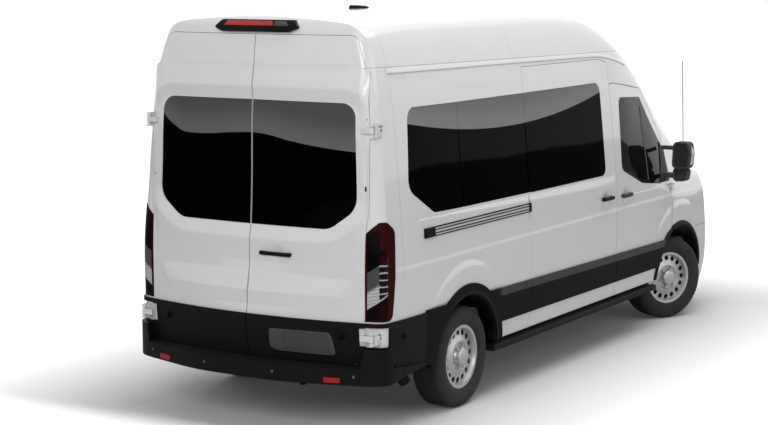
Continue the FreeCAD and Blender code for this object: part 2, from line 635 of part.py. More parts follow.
def front_end():
    shell = nose(0).common(box(1857, 3200, 0, 1300, 240, 1600)).cut(nose(25))
    low = box(2380, 3200, -1300, 1300, 200, 770)
    lid = prism(bonnet_plan, "xy", 1115, 1700)
    hood = nose(0).common(prism(grow(bonnet_plan, -5), "xy", 1121, 1700)).cut(nose(22))
    x = lx(2518)
    lugs = []
    for y in (-640, 640):
        barrel = Part.makeCylinder(11, 28, Vector(x, wy(y) - 14, bonnet_hinge_z), Vector(0, 1, 0))
        arm = Part.makeBox(75, 28, 18, Vector(x, wy(y) - 14, bonnet_hinge_z - 8))
        lugs.append(barrel.fuse(arm))
    bores = [Part.makeCylinder(pin_radius + pin_play, 40, Vector(x, wy(y) - 20, bonnet_hinge_z),
                               Vector(0, 1, 0)) for y in (-640, 640)]
    room = [Part.makeCylinder(18, 60, Vector(x, wy(y) - 30, bonnet_hinge_z), Vector(0, 1, 0))
            for y in (-640, 640)]
    save("bonnet", hood.cut(room).fuse(lugs).cut(bores))
    lamp = prism(lamp_front, "yz", 2560, 3200)
    grille = prism(grille_front, "yz", 2600, 3200)
    inside = [box(1500, 2335, -1300, 1300, 1262, 1700), box(1500, 2512, 0, 845, 1100, 1700)]
    hole = arch(front_axle, arch_radius + 15, -1300, 1300)
    wing = shell.cut([low, lid, lamp, grille, hole] + inside)
    wing = wing.cut(box(1800, 2400, 0, 1300, 0, 402))
    x, y = door_pin
    wing = wing.fuse(door_leaf(x, 1880, y - 6, y + 4))
    wings = both(wing)
    save("fenders", wings)
    bumper = shell.common(box(2384, 3200, -1300, 1300, 240, 766)).cut(hole)
    intake = prism([(-1, 430), (620, 430, 40), (560, 640, 40), (-1, 640)], "yz", 2800, 3200)
    bumper = bumper.cut(intake)
    save("front_bumper", bumper.fuse(mirror(bumper)))
    slot = [(-619, 430), (619, 430), (559, 640), (-559, 640)]
    mesh = nose(12).common(prism(grow(slot, -1), "yz", 2600, 3200, 39)).cut(nose(22))
    face = nose(4).common(prism(grow(grille_front, -0.5), "yz", 2600, 3200)).cut(nose(30))
    save("grille", Part.Compound([face, mesh]))
    glass = nose(0).common(prism(grow(lamp_front, -2), "yz", 2560, 3200)).cut(nose(40))
    glass = glass.cut(lid)
    save("headlamps", both(glass))
    thin = nose(-8).common(box(1860, 2700, 500, 1300, 300, 900)).cut(nose(0))
    ring = arch(front_axle, arch_radius + 60, 500, 1300).cut(arch(front_axle, arch_radius + 15,
                                                                  500, 1300))
    save("front_arch_trim", both(thin.common(ring).cut(box(1800, 3200, 0, 1300, 0, 404))))
    tray = box(2300, 2508, -840, 840, 1245, 1262)
    ears = [box(2506, 2530, y, y + 8, 1245, 1298) for y in (-664, -624, 616, 656)]
    pins = [Part.makeCylinder(pin_radius, wy(46), Vector(lx(2518), wy(y), bonnet_hinge_z),
                              Vector(0, 1, 0)) for y in (-663, 617)]
    arms = [box(2480, 2530, y, y + 48, 1245, 1262) for y in (-664, 616)]
    save("cowl_panel", fuse([tray] + ears + pins + arms))


def underbody():
    t = floor_thickness
    top = floor_top
    floor = cab(wall).common(box(-2780, 1935, -1100, 1100, top - t, top))
    cuts = [arch(rear_axle, arch_radius, 690, 1100), arch(rear_axle, arch_radius, -1100, -690),
            arch(front_axle, arch_radius + 15, 490, 1100),
            arch(front_axle, arch_radius + 15, -1100, -490)]
    floor = floor.cut(cuts)
    houses = []
    for axle, radius, y0, y1 in ((rear_axle, arch_radius, 690, 950),
                                 (front_axle, arch_radius + 15, 492, 940)):
        house = arch(axle, radius + 8, y0, y1).cut(arch(axle, radius, y0 + 8, y1 + 5))
        house = house.cut(box(-3200, 3200, 0, 1300, -200, top - t))
        houses += [house, mirror(house)]
    sill = box(-1280, 1560, 850, 930, 405, top - t + 5)
    rails = [box(-2788, 2690, 420, 490, 540, top - t + 1)]
    rails += [mirror(rails[0]), sill, mirror(sill)]
    pads = [box(x - 50, x + 50, 424, 486, 532, 541) for x in jack_pads]
    rails += pads + [mirror(pad) for pad in pads]
    cross = [box(x - 40, x + 40, -880, 880, 560, top - t + 1) for x in (-1000, -400, 500, 1300)]
    cross += [box(x - 40, x + 40, -480, 480, 560, top - t + 1) for x in (-2700, 2650)]
    skirt = box(-2720, -2330, 850, 890, 480, top - t + 2)
    save("floor", fuse([floor] + houses + rails + cross + [skirt, mirror(skirt)]))
    wall_plate = box(1935, 1960, -829.7, 829.7, 822, 1330)
    toe = box(1935, 1960, -488, 488, top - t + 1, 830)
    save("front_bulkhead", wall_plate.fuse(toe))
    block = box(2130, 2560, -240, 240, 380, 960)
    save("engine", block.makeFillet(25.0, block.Edges))
    tank = box(-900, 300, 500, 830, 345, 560)
    save("fuel_tank", tank.makeFillet(30.0, tank.Edges))
    line = [pt(2060, -300, 430), pt(-1000, -300, 430), pt(-1300, -350, 560),
            pt(-1900, -350, 560), pt(-2120, -380, 490), pt(-2335, -765, 399), pt(-2392, -905, 300)]
    pipe = [rod(a, b, 30) for a, b in zip(line, line[1:])]
    pipe += [Part.makeSphere(31, p) for p in line[:-1]]
    pipe.append(rod(pt(380, -300, 430), pt(-300, -300, 430), 90))
    pipe += [box(x - 8, x + 8, -308, -292, 455, 560) for x in (1300, 500)]
    tip = fuse(pipe)
    end = (line[-1] - line[-2]).normalize()
    save("exhaust", tip.cut(rod(line[-1] - end * 120, line[-1] + end * 5, 26)))
    spare = Part.makeCylinder(340, 190, pt(-2405, 0, 345))
    spare = spare.makeFillet(45.0, spare.Edges[:1] + spare.Edges[2:])
    spare = spare.cut(Part.makeCylinder(190, 120, pt(-2405, 0, 300)))
    save("spare_wheel", fuse([spare, rod(pt(-2405, 0, 520), pt(-2405, 0, 605), 25),
                              box(-2445, -2365, -420, 420, 600, 640)]))
    step = box(-1376, 1500, -1034, -870, 330, 372)
    step = step.makeFillet(10.0, step.Edges)
    stays = [box(x - 25, x + 25, -905, -872, 371, 405) for x in (-1200, -300, 600, 1400)]
    save("side_step", fuse([step] + stays))


def spring(y):
    """One leaf spring pack with its hangers."""
    arc = []
    for radius, half in ((1500, 640), (1512, 420)):
        turn = half / radius
        z_low = wheel_z - 62 - (radius - 1500)
        p = [Vector(rear_axle + radius * math.sin(s * turn), y - 32,
                    z_low + radius * (1 - math.cos(s * turn))) for s in (-1, 0, 1)]
        q = [Vector(rear_axle + (radius - 12) * math.sin(s * turn), y - 32,
                    z_low + 12 + (radius - 12) * (1 - math.cos(s * turn))) for s in (1, 0, -1)]
        edges = [Part.Arc(p[0], p[1], p[2]).toShape(), Part.makeLine(p[2], q[0]),
                 Part.Arc(q[0], q[1], q[2]).toShape(), Part.makeLine(q[2], p[0])]
        arc.append(Part.Face(Part.Wire(edges)).extrude(Vector(0, 64, 0)))
    return arc


def suspension():
    half = rear_track / 2
    inner = half - 130
    tube = rod(Vector(rear_axle, -inner, wheel_z), Vector(rear_axle, inner, wheel_z), 42)
    ball = Part.makeSphere(165, Vector(rear_axle, 0, wheel_z))
    ball = ball.common(Part.makeBox(300, 250, 400, Vector(rear_axle - 150, -125, wheel_z - 200)))
    parts = [tube, ball]
    for s in (-1, 1):
        y = s * 545
        parts += spring(y)
        parts.append(Part.makeBox(90, 80, 110, Vector(rear_axle - 45, y - 40, wheel_z - 65)))
        end = 640 / 1500
        z_end = wheel_z - 62 + 1500 * (1 - math.cos(end))
        for x in (rear_axle - 1500 * math.sin(end) + 10, rear_axle + 1500 * math.sin(end) - 10):
            top = floor_top - floor_thickness
            parts.append(Part.makeBox(40, 90, top - z_end + 8, Vector(x - 20, y - 45, z_end - 8)))
        parts.append(rod(Vector(rear_axle, s * (inner - 5), wheel_z),
                         Vector(rear_axle, s * (half + 20), wheel_z), 24))
    parts.append(rod(pt(-1600, 0, 372), pt(2129, 0, 470), 38))
    save("rear_axle", fuse(parts))
    king = front_track / 2 - kingpin_inset
    parts = [Part.makeBox(140, 860, 60, Vector(front_axle - 70, -430, 290)),
             rod(Vector(front_axle - 160, -470, 330), Vector(front_axle - 160, 470, 330), 22)]
    for s in (-1, 1):
        for z, top in ((192, False), (502, True)):
            a = min(s * 400, s * (king + 16))
            b = max(s * 400, s * (king + 16))
            bar = Part.makeBox(56, b - a, 18, Vector(front_axle - 28, a, z - 9))
            hole = Part.makeCylinder(9 + pin_play, 60, Vector(front_axle, s * king, z - 30))
            parts.append(bar.cut(hole))
        parts.append(Part.makeBox(80, 50, 357, Vector(front_axle - 40, s * 435 - 25, 183)))
        parts.append(Part.makeBox(70, 30, 60, Vector(front_axle - 180, s * 440 - 15, 330)))
        parts.append(Part.makeBox(150, 30, 40, Vector(front_axle - 180, s * 430 - 15, 345)))
    save("front_suspension", fuse(parts))
    left = []
    y = king
    post = Part.makeBox(60, 50, 270, Vector(front_axle - 30, y - 25, 212))
    pins = [Part.makeCylinder(9, 40, Vector(front_axle, y, 182)),
            Part.makeCylinder(9, 40, Vector(front_axle, y, 475))]
    spindle = rod(Vector(front_axle, y, wheel_z), Vector(front_axle, y + 70, wheel_z), 24)
    post = fuse([post, spindle] + pins)
    for s, name in ((1, "steering_knuckle_left"), (-1, "steering_knuckle_right")):
        item = post if s > 0 else mirror(post)
        item = item.copy()
        item.rotate(Vector(front_axle, s * king, 0), Vector(0, 0, 1), -rest_steer)
        save(name, item)


def wheel():
    """One wheel lying with its outer face towards +Y, centred on the origin."""
    r = tyre_diameter / 2
    w = tyre_width / 2
    rim = rim_radius
    outline = [(rim - 19.7, -w + 38), (rim + 0.3, -w + 24), (rim + 66, -w), (r - 26, -w + 10),
               (r, -w + 34), (r, w - 34), (r - 26, w - 10), (rim + 66, w), (rim + 0.3, w - 24),
               (rim - 19.7, w - 38)]
    face = Part.Face(Part.makePolygon([Vector(0, y, z) for z, y in outline + outline[:1]]))
    tyre = face.revolve(Vector(0, 0, 0), Vector(0, 1, 0), 360)
    side = w - 24
    line = [(rim - 21, -side - 3), (rim, -side - 3), (rim, -side), (rim - 20, -side + 14),
            (rim - 20, side - 14), (rim, side), (rim, side + 3),
            (rim - 22, side + 2), (rim - 30, side - 20), (190, 62), (150, 68), (118, 84),
            (105, 86), (95, 74), (72, 74), (66, 88), (62, 108), (54, 116), (30, 120), (0, 121),
            (0, 78), (24 + pin_play, 78), (24 + pin_play, 12), (60, 12), (60, 55), (100, 62),
            (150, 56), (188, 46), (rim - 28, 38), (rim - 28, -side + 12)]
    path = [Vector(0, y, z) for z, y in line + line[:1]]
    body = Part.Face(Part.makePolygon(path)).revolve(Vector(0, 0, 0), Vector(0, 1, 0), 360)
    holes = []
    for i in range(vent_count):
        a = 2 * math.pi * i / vent_count
        holes.append(Part.makeCylinder(17, 80, Vector(169 * math.sin(a), 30, 169 * math.cos(a)),
                                       Vector(0, 1, 0)))
    nuts = []
    for i in range(lug_count):
        a = 2 * math.pi * i / lug_count + 0.3
        nuts.append(Part.makeCylinder(9, 32, Vector(83.5 * math.sin(a), 68, 83.5 * math.cos(a)),
                                      Vector(0, 1, 0)))
    return tyre, body.cut(holes).fuse(nuts)


def wheels():
    tyre, rim = wheel()
    king = front_track / 2 - kingpin_inset
    for end, axle, track in (("front", front_axle, front_track), ("rear", rear_axle, rear_track)):
        for side, s in (("left", 1), ("right", -1)):
            for kind, shape in (("tyre", tyre), ("rim", rim)):
                item = shape.copy() if s > 0 else mirror(shape)
                item.translate(Vector(axle, s * track / 2, wheel_z))
                if end == "front":
                    item.rotate(Vector(axle, s * king, 0), Vector(0, 0, 1), -rest_steer)
                item.exportStep("parts/" + kind + "_" + end + "_" + side + ".step")


def seat(x, y, width, legs=True):
    base = box(x - 230, x + 230, y - width / 2, y + width / 2, floor_top + 300, floor_top + 420)
    base = base.makeFillet(25.0, base.Edges)
    back = prism([(x - 300, 1110), (x - 190, 1110), (x - 300, 1640), (x - 400, 1640)], "xz",
                 y - width / 2, y + width / 2, 30)
    head = box(x - 425, x - 335, y - width / 2 + 110, y + width / 2 - 110, 1655, 1830)
    head = head.makeFillet(22.0, head.Edges)
    posts = [rod(pt(x - 365, y + s * 50, 1560), pt(x - 378, y + s * 50, 1700), 7) for s in (-1, 1)]
    inset = width / 2 - 75
    low = [box(x - 200, x - 160, y - inset, y + inset, floor_top, floor_top + 310),
           box(x + 140, x + 180, y - inset, y + inset, floor_top, floor_top + 310),
           box(x - 300, x - 190, y - width / 2 + 20, y + width / 2 - 20, floor_top + 340, 1150)]
    return fuse([base, back, head] + posts + low)


def cabin():
    rows = []
    for i in range(len(seat_rows)):
        x = seat_rows[i]
        places = (-600, -200, 200, 600) if i == 0 else (-550, -120, 550)
        rows += [seat(x, y, 385 if i == 0 else 425) for y in places]
    save("passenger_seats", Part.Compound(rows))
    save("front_seats", Part.Compound([seat(1150, 460, 500), seat(1150, -460, 500)]))
    dash = prism([(1925, 840), (1680, 860), (1640, 1000), (1650, 1130), (1750, 1225),
                  (1925, 1290)], "xz", -826, 826, 20)
    ring = Part.makeTorus(190, 16, Vector(0, 0, 0), Vector(0, 0, 1))
    hub = Part.makeCylinder(60, 40, Vector(0, 0, -30))
    spokes = [Part.makeBox(24, 380, 16, Vector(-12, -190, -16)),
              Part.makeBox(190, 24, 16, Vector(0, -12, -16))]
    wheel_set = fuse([ring, hub] + spokes + [Part.makeCylinder(28, 240, Vector(0, 0, -260))])
    wheel_set.rotate(Vector(0, 0, 0), Vector(0, 1, 0), -62)
    wheel_set.translate(pt(1530, 460, 1200))
    save("dashboard", dash.fuse(wheel_set))


def fittings():
    lens = prism(grow(lamp_side, -1.5), "xz", 700, 1300)
    lens = lens.common(prism(grow(lamp_rear, -1.5), "yz", -3200, -2500))
    lens = lens.common(cab(-4)).cut(cab(wall - 10))
    lamp = prism([(-338, 2655), (-270, 2628), (270, 2628), (338, 2655), (290, 2706), (-290, 2706)],
                 "yz", -2830, -2620, 8)
    lamp = lamp.common(cab(-26)).cut(cab(0))
    save("rear_lamps", Part.Compound([lens, mirror(lens), lamp]))
    rail = box(-2311, -771, -1040, -940, 1265, 1330)
    rail = rail.common(cab(-6)).cut(cab(0))
    grip = box(440, 612, -1050, -1010, 1200, 1230)
    grip = grip.makeFillet(10.0, grip.Edges)
    grip = grip.cut(box(468, 584, -1028, -1000, 1150, 1250))
    save("sliding_door_fittings", Part.Compound([rail, grip]))
    fin = prism([(-1630, 2735), (-1372, 2735), (-1478, 2768), (-1600, 2776)], "xz", -30, 30, 8)
    whip = rod(pt(2240, -952, 1262), pt(2150, -960, 2230), 3).cut(nose(0)).cut(cab(0))
    foot = rod(pt(2243, -935, 1205), pt(2240, -952, 1285), 12).cut(nose(0)).cut(cab(0))
    save("antennas", Part.Compound([fin.cut(cab(0)), whip.fuse(foot)]))


if __name__ == "__main__":
    for step in (side_panels, front_end, underbody, suspension, wheels, cabin, fittings):
        step()
    door_part, ring, corner, panel = cladding()
    front_door_trim(door_part, ring)
    rear_doors(panel)
    rear_bumper(corner)
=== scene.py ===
import bmesh
import bpy
import json
import math
import numpy as np
from mathutils import Matrix, Vector
from mathutils.bvhtree import BVHTree


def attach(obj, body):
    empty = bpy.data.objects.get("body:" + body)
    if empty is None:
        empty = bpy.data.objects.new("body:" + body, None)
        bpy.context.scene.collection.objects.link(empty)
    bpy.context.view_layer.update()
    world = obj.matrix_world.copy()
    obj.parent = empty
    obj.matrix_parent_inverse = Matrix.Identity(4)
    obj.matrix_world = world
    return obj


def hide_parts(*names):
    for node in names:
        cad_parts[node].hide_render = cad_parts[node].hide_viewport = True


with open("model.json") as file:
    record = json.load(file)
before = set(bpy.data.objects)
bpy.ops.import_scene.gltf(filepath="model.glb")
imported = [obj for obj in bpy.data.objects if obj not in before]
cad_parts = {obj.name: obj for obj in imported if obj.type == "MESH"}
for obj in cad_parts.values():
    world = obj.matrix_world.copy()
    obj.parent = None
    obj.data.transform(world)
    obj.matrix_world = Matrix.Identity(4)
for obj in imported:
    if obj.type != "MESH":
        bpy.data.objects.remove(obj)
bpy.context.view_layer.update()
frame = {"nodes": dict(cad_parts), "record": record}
print("frame loaded")

sides = ((1, "left"), (-1, "right"))
ends = {"front": {"axle": 2.017, "track": 1.732}, "rear": {"axle": -1.733, "track": 1.743}}
wheelRadius = 0.356


def feed(socket, v):
    # a number or a colour becomes the socket's own value, an output is linked to it
    if isinstance(v, (int, float)):
        socket.default_value = v
    elif isinstance(v, tuple):
        socket.default_value = (*v, 1.0)
    else:
        source = v.out if isinstance(v, term) else v
        source.id_data.links.new(source, socket)


class term:
    # a shader output that formulas can use: each sign in them adds a maths node
    def __init__(self, out):
        self.out = out
        self.tree = out.id_data

    def maths(self, kind, *others):
        node = self.tree.nodes.new("ShaderNodeMath")
        node.operation = kind
        for socket, v in zip(node.inputs, (self, *others)):
            feed(socket, v)
        return term(node.outputs[0])

    def __add__(self, v):
        return self.maths("ADD", v)

    def __sub__(self, v):
        return self.maths("SUBTRACT", v)

    def __mul__(self, v):
        return self.maths("MULTIPLY", v)

    def __truediv__(self, v):
        return self.maths("DIVIDE", v)

    def __abs__(self):
        return self.maths("ABSOLUTE")

    def atLeast(self, v):
        return self.maths("MAXIMUM", v)

    def atMost(self, v):
        return self.maths("MINIMUM", v)

    def rise(self, low, high):
        # smooth rise from 0 to 1 between two numbers
        node = self.tree.nodes.new("ShaderNodeMapRange")
        node.interpolation_type = "SMOOTHSTEP"
        feed(node.inputs["Value"], self)
        node.inputs["From Min"].default_value = low
        node.inputs["From Max"].default_value = high
        return term(node.outputs["Result"])


def mixColour(factor, a, b):
    node = factor.tree.nodes.new("ShaderNodeMix")
    node.data_type = "RGBA"
    for k, v in ((0, factor), (6, a), (7, b)):
        feed(node.inputs[k], v)
    return node.outputs[2]


def newMaterial(name, **values):
    # a material whose shader sockets hold the given values
    mat = bpy.data.materials.new(name)
    mat.use_nodes = True
    bsdf = mat.node_tree.nodes["Principled BSDF"]
    for word, v in values.items():
        feed(bsdf.inputs[socketOf[word]], v)
    return mat, mat.node_tree, bsdf.inputs


socketOf = {"colour": "Base Color", "rough": "Roughness", "metallic": "Metallic",
            "coat": "Coat Weight", "coatRough": "Coat Roughness", "shine": "Specular IOR Level",
            "ior": "IOR", "clear": "Transmission Weight", "glow": "Emission Strength"}


def objectXyz(tree):
    # object coordinates, whole and as three terms
    coord = tree.nodes.new("ShaderNodeTexCoord").outputs["Object"]
    split = tree.nodes.new("ShaderNodeSeparateXYZ")
    feed(split.inputs[0], coord)
    return coord, *[term(split.outputs[k]) for k in "XYZ"]


def textureNode(tree, kind, place, **values):
    node = tree.nodes.new("ShaderNodeTex" + kind)
    feed(node.inputs["Vector"], place)
    for word, v in values.items():
        feed(node.inputs[word], v)
    return node


def buildGrain():
    # fine mottling shared by plastics, paint and rubber: a mask and a height
    group = bpy.data.node_groups.new("surfaceGrain", "ShaderNodeTree")
    for name, way in (("Scale", "INPUT"), ("Contrast", "INPUT"), ("Mask", "OUTPUT"),
                      ("Height", "OUTPUT")):
        group.interface.new_socket(name=name, in_out=way, socket_type="NodeSocketFloat")
    given = group.nodes.new("NodeGroupInput").outputs
    made = group.nodes.new("NodeGroupOutput").inputs
    coord = group.nodes.new("ShaderNodeTexCoord").outputs["Object"]
    fine = textureNode(group, "Noise", coord, Detail=4.0, Scale=given["Scale"])
    broad = textureNode(group, "Noise", coord, Scale=3.0)
    feed(made["Mask"], term(broad.outputs[0]) * given["Contrast"])
    feed(made["Height"], fine.outputs[0])
    return group


grainGroup = buildGrain()


def bumpNode(tree, height, strength, depth, below=None):
    node = tree.nodes.new("ShaderNodeBump")
    feed(node.inputs["Strength"], strength)
    feed(node.inputs["Distance"], depth)
    feed(node.inputs["Height"], height)
    if below is not None:
        feed(node.inputs["Normal"], below)
    return node.outputs["Normal"]


def addGrain(tree, inputs, scale, rough, swing, bump, depth=0.0004, form=None):
    # roughness that wanders a little, and a fine bump with an optional larger form under it
    grain = tree.nodes.new("ShaderNodeGroup")
    grain.node_tree = grainGroup
    feed(grain.inputs["Scale"], scale)
    feed(grain.inputs["Contrast"], 1.0)
    mask = term(grain.outputs["Mask"])
    feed(inputs["Roughness"], mask * swing + rough)
    below = None if form is None else bumpNode(tree, form, 1.0, 1.0)
    feed(inputs["Normal"], bumpNode(tree, grain.outputs["Height"], bump, depth, below))
    return mask


def plain(name, colour, rough, scale=300.0, metallic=0.0, coat=0.0, bump=0.15, swing=0.12,
          shade=0.12, shine=0.5):
    mat, tree, inputs = newMaterial(name, metallic=metallic, coat=coat, coatRough=0.05,
                                    shine=shine)
    mask = addGrain(tree, inputs, scale, rough, swing, bump)
    dark = tuple(c * (1.0 - shade) for c in colour)
    feed(inputs["Base Color"], mixColour(mask, colour, dark))
    return mat


paintLook = {"colour": (0.655, 0.66, 0.668), "rough": 0.30, "coat": 0.7,
             "belt": (1.085, 1.120, -0.005), "seams": [(-2.570, 1.0), (-0.880, 2.34)],
             "gutter": (2.372, -0.0118), "handles": [(0.526, 1.215, 0.058), (0.900, 1.201, 0.058)],
             "rearHandle": (-0.213, 1.185, 0.058)}


def bandAt(value, middle, half):
    # 1 at a value, easing to 0 a little way either side
    return abs(value - middle).rise(half, 0.0)


def dishAt(a, b, place):
    # hollow of a ball's cap: falls with the square of the distance inside a radius
    da, db = a - place[0], b - place[1]
    share = (da * da + db * db) / place[2] ** 2
    return (share * -1.0 + 1.0).atLeast(0.0) * -0.010


def paintMaterial():
    # white body paint: its bump holds the panel joints, the gutter line and the handle hollows
    mat, tree, inputs = newMaterial("bodyPaint", coat=paintLook["coat"], coatRough=0.04)
    _, x, y, z = objectXyz(tree)
    low, high, rise = paintLook["belt"]
    form = z.rise(low, high) * rise
    for place in paintLook["handles"]:
        form = form + dishAt(x, z, place)
    base, slope = paintLook["gutter"]
    form = form + bandAt(x * -slope + z, base, 0.007) * -0.004
    for at, bottom in paintLook["seams"]:
        form = form + z.rise(bottom, bottom + 0.01) * bandAt(x, at, 0.004) * -0.003
    form = form * abs(y).rise(0.80, 0.84)
    crown = z.rise(2.395, 2.425) * z.rise(2.475, 2.435) * abs(y).rise(0.76, 0.70)
    tail = dishAt(y, z, paintLook["rearHandle"]) + crown * 0.003
    form = form + tail * x.rise(-2.70, -2.74)
    mask = addGrain(tree, inputs, 900.0, paintLook["rough"], 0.04, 0.02, 0.0002, form)
    shade = tuple(c * 0.97 for c in paintLook["colour"])
    feed(inputs["Base Color"], mixColour(mask, paintLook["colour"], shade))
    return mat


# glass tones: near black below the line, paler above it as a painted reflection
glassLook = {"dark": (0.0006, 0.0006, 0.0008), "rearLow": (0.125, 0.125, 0.123),
             "rearHigh": (0.075, 0.075, 0.078), "sideLow": (0.235, 0.235, 0.235),
             "sideHigh": (0.175, 0.175, 0.178), "bandTop": 0.22, "line": 0.003,
             "rearEdge": [(-0.80, 1.868), (-0.52, 1.892), (-0.30, 1.923), (-0.09, 1.961),
                          (0.0, 1.966), (0.16, 1.959), (0.40, 1.941), (0.57, 1.943),
                          (0.65, 1.971), (0.78, 2.06)]}


def curveNode(value, points, low, high, bottom, top):
    # a measured line: the value's place between low and high picks a height from bottom to top
    node = value.tree.nodes.new("ShaderNodeFloatCurve")
    line = node.mapping.curves[0]
    spots = [((a - low) / (high - low), (b - bottom) / (top - bottom)) for a, b in points]
    while len(line.points) < len(spots):
        line.points.new(0.5, 0.5)
    for point, spot in zip(line.points, spots):
        point.location = spot
    node.mapping.update()
    feed(node.inputs["Value"], (value - low) / (high - low))
    return term(node.outputs["Value"]) * (top - bottom) + bottom


def reflectionBandGlass():
    # near black glass; above a measured wavy line a paler band is painted into its colour, a
    # painted reflection
    mat, tree, inputs = newMaterial("tintedGlass", rough=0.03, ior=1.06)
    _, x, y, z = objectXyz(tree)
    rearEdge = curveNode(y, glassLook["rearEdge"], -0.85, 0.85, 1.8, 2.1)
    along = x + 1.02
    # the side's line is a parabola along x
    sideEdge = along * along * 0.061 + 1.911
    atRear = x.rise(-2.70, -2.72)
    above = z - (sideEdge + (rearEdge - sideEdge) * atRear)
    fade = above.rise(glassLook["bandTop"], 0.0)
    # painted reflection: palest just above the line, darker higher up
    rearTone, sideTone = [mixColour(fade, glassLook[word + "High"], glassLook[word + "Low"])
                          for word in ("rear", "side")]
    tone = mixColour(atRear, sideTone, rearTone)
    feed(inputs["Base Color"], mixColour(above.rise(0.0, glassLook["line"]), glassLook["dark"],
                                         tone))
    return mat


claddingLook = {"dark": (0.004, 0.004, 0.0045), "paintedSheen": (0.050, 0.050, 0.051), "band": 0.058,
                "top": (-0.01535, 0.7534), "lean": 0.75}


def claddingMaterial():
    # grained black plastic; along its upper edge a band leans upwards in the bump, and its colour
    # there is a lighter grey, a painted highlight
    mat, tree, inputs = newMaterial("claddingPlastic", shine=0.03)
    _, x, _, z = objectXyz(tree)
    slope, height = claddingLook["top"]
    below = x * slope + height - z
    flank = x.rise(-1.30, -1.20)
    form = (below - claddingLook["band"]).atMost(0.0) * claddingLook["lean"] * flank
    addGrain(tree, inputs, 700.0, 0.42, 0.08, 0.25, 0.0004, form)
    # painted highlight: the lighter grey mixed into the band along the top edge
    paintedSheen = below.rise(claddingLook["band"], claddingLook["band"] - 0.006) * flank
    feed(inputs["Base Color"], mixColour(paintedSheen, claddingLook["dark"], claddingLook["paintedSheen"]))
    return mat


lampLook = {"red": (0.030, 0.0005, 0.0006), "dark": (0.0015, 0.0008, 0.0008),
            "clear": (0.42, 0.42, 0.42), "smoke": (0.022, 0.020, 0.021),
            "bright": (0.85, 0.85, 0.85), "black": (0.004, 0.004, 0.004),
            "foot": (0.006, 0.0006, 0.0008),
            # distances round the corner from the lens's inner edge
            "inner": 0.012, "outer": 0.149, "split": 0.090, "coreEdge": 0.101,
            # levels of the slanted band, which falls by 0.66 with that distance
            "slant": -0.66, "low": 0.849, "high": 1.092, "brightTop": 0.975, "rim": 0.866,
            # heights of the black core and of the spur that widens it
            "coreLow": 0.792, "coreHigh": 1.362, "spur": (1.21, 1.25), "stopLamp": 2.0}


def tailLampMaterial():
    # dark red lens with a black inner part, a slanted clear band in two halves and a dark foot;
    # bright wavy streaks in the band's inner half are a painted reflection
    mat, tree, inputs = newMaterial("tailLamp", rough=0.15, shine=0.05)
    place, x, y, z = objectXyz(tree)
    # distance round the corner from the lens's inner edge: 0.53 of x plus 0.848 of y
    around = x * 0.53 + abs(y) * 0.848 + 0.760
    level = around * lampLook["slant"] + z
    low, high, core = lampLook["low"], lampLook["high"], lampLook["coreEdge"]
    inner = around.rise(lampLook["inner"], lampLook["inner"] + 0.003)
    outer = around.rise(lampLook["outer"], lampLook["outer"] - 0.003)
    band = level.rise(low, low + 0.004) * level.rise(high, high - 0.004) * inner * outer
    rims = textureNode(tree, "Wave", place, Scale=7.0, Distortion=1.6)
    rims.inputs["Detail Scale"].default_value = 3.0
    fine = textureNode(tree, "Wave", place, Scale=34.0, Distortion=2.5)
    rims.bands_direction = fine.bands_direction = "Z"
    wave = term(fine.outputs["Fac"])
    # painted reflection: bright wavy streaks near the top of the band's inner half
    paintedGlints = level.rise(lampLook["brightTop"], lampLook["brightTop"] - 0.030) * wave * 0.9 + 0.06
    inHalf = mixColour(paintedGlints, lampLook["smoke"], lampLook["bright"])
    edge = level.rise(lampLook["rim"], lampLook["rim"] - 0.008)
    lines = term(rims.outputs["Fac"]).rise(0.80, 1.0).atLeast(edge)
    outHalf = mixColour(lines, lampLook["black"], lampLook["clear"])
    glow = mixColour(around.rise(lampLook["split"], lampLook["split"] + 0.004), inHalf, outHalf)
    bottom, top = lampLook["spur"]
    reach = z.rise(bottom, bottom + 0.005) * z.rise(top, top - 0.005) * -0.035 + around
    bottom, top = lampLook["coreLow"], lampLook["coreHigh"]
    black = z.rise(bottom, bottom + 0.005) * (around * -0.2 + z).rise(top, top - 0.010)
    black = black * inner * reach.rise(core, core - 0.004)
    dark = mixColour(black, lampLook["red"], lampLook["dark"])
    dark = mixColour(level.rise(low + 0.004, low) * outer * 0.7, dark, lampLook["foot"])
    lens = mixColour(band, dark, glow)
    # the high stop lamp's body is black all over
    above = z.rise(lampLook["stopLamp"], lampLook["stopLamp"] + 0.01)
    feed(inputs["Base Color"], mixColour(above, lens, lampLook["black"]))
    feed(inputs["Normal"], bumpNode(tree, wave * band, 1.0, 0.002))
    return mat


def glassMaterial(name, colour, clear, rough):
    return newMaterial(name, colour=colour, clear=clear, rough=rough, ior=1.15)[0]


paint = paintMaterial()
darkGlass = reflectionBandGlass()
cladding = claddingMaterial()
tailLamp = tailLampMaterial()
cabGlass = glassMaterial("cabGlass", (0.022, 0.025, 0.025), 0.80, 0.02)
lampClear = glassMaterial("lampClear", (0.85, 0.86, 0.87), 0.85, 0.03)
blackPlastic = plain("blackPlastic", (0.006, 0.006, 0.0065), 0.45, 700.0, bump=0.3, shine=0.06)
softBlack = plain("softBlack", (0.003, 0.003, 0.003), 0.4, 500.0, shine=0.05)
chassisBlack = plain("chassisBlack", (0.008, 0.008, 0.008), 0.6, 200.0, shade=0.4, shine=0.06)
rubber = plain("tyreRubber", (0.024, 0.024, 0.0245), 0.7, 400.0, bump=0.4, shine=0.2)
rimSilver = plain("rimSilver", (0.44, 0.445, 0.45), 0.33, 600.0, metallic=0.6, coat=0.2)
steel = plain("bareSteel", (0.32, 0.31, 0.30), 0.38, 250.0, metallic=0.9)
railSteel = plain("railSteel", (0.46, 0.46, 0.455), 0.36, 250.0, metallic=0.55)
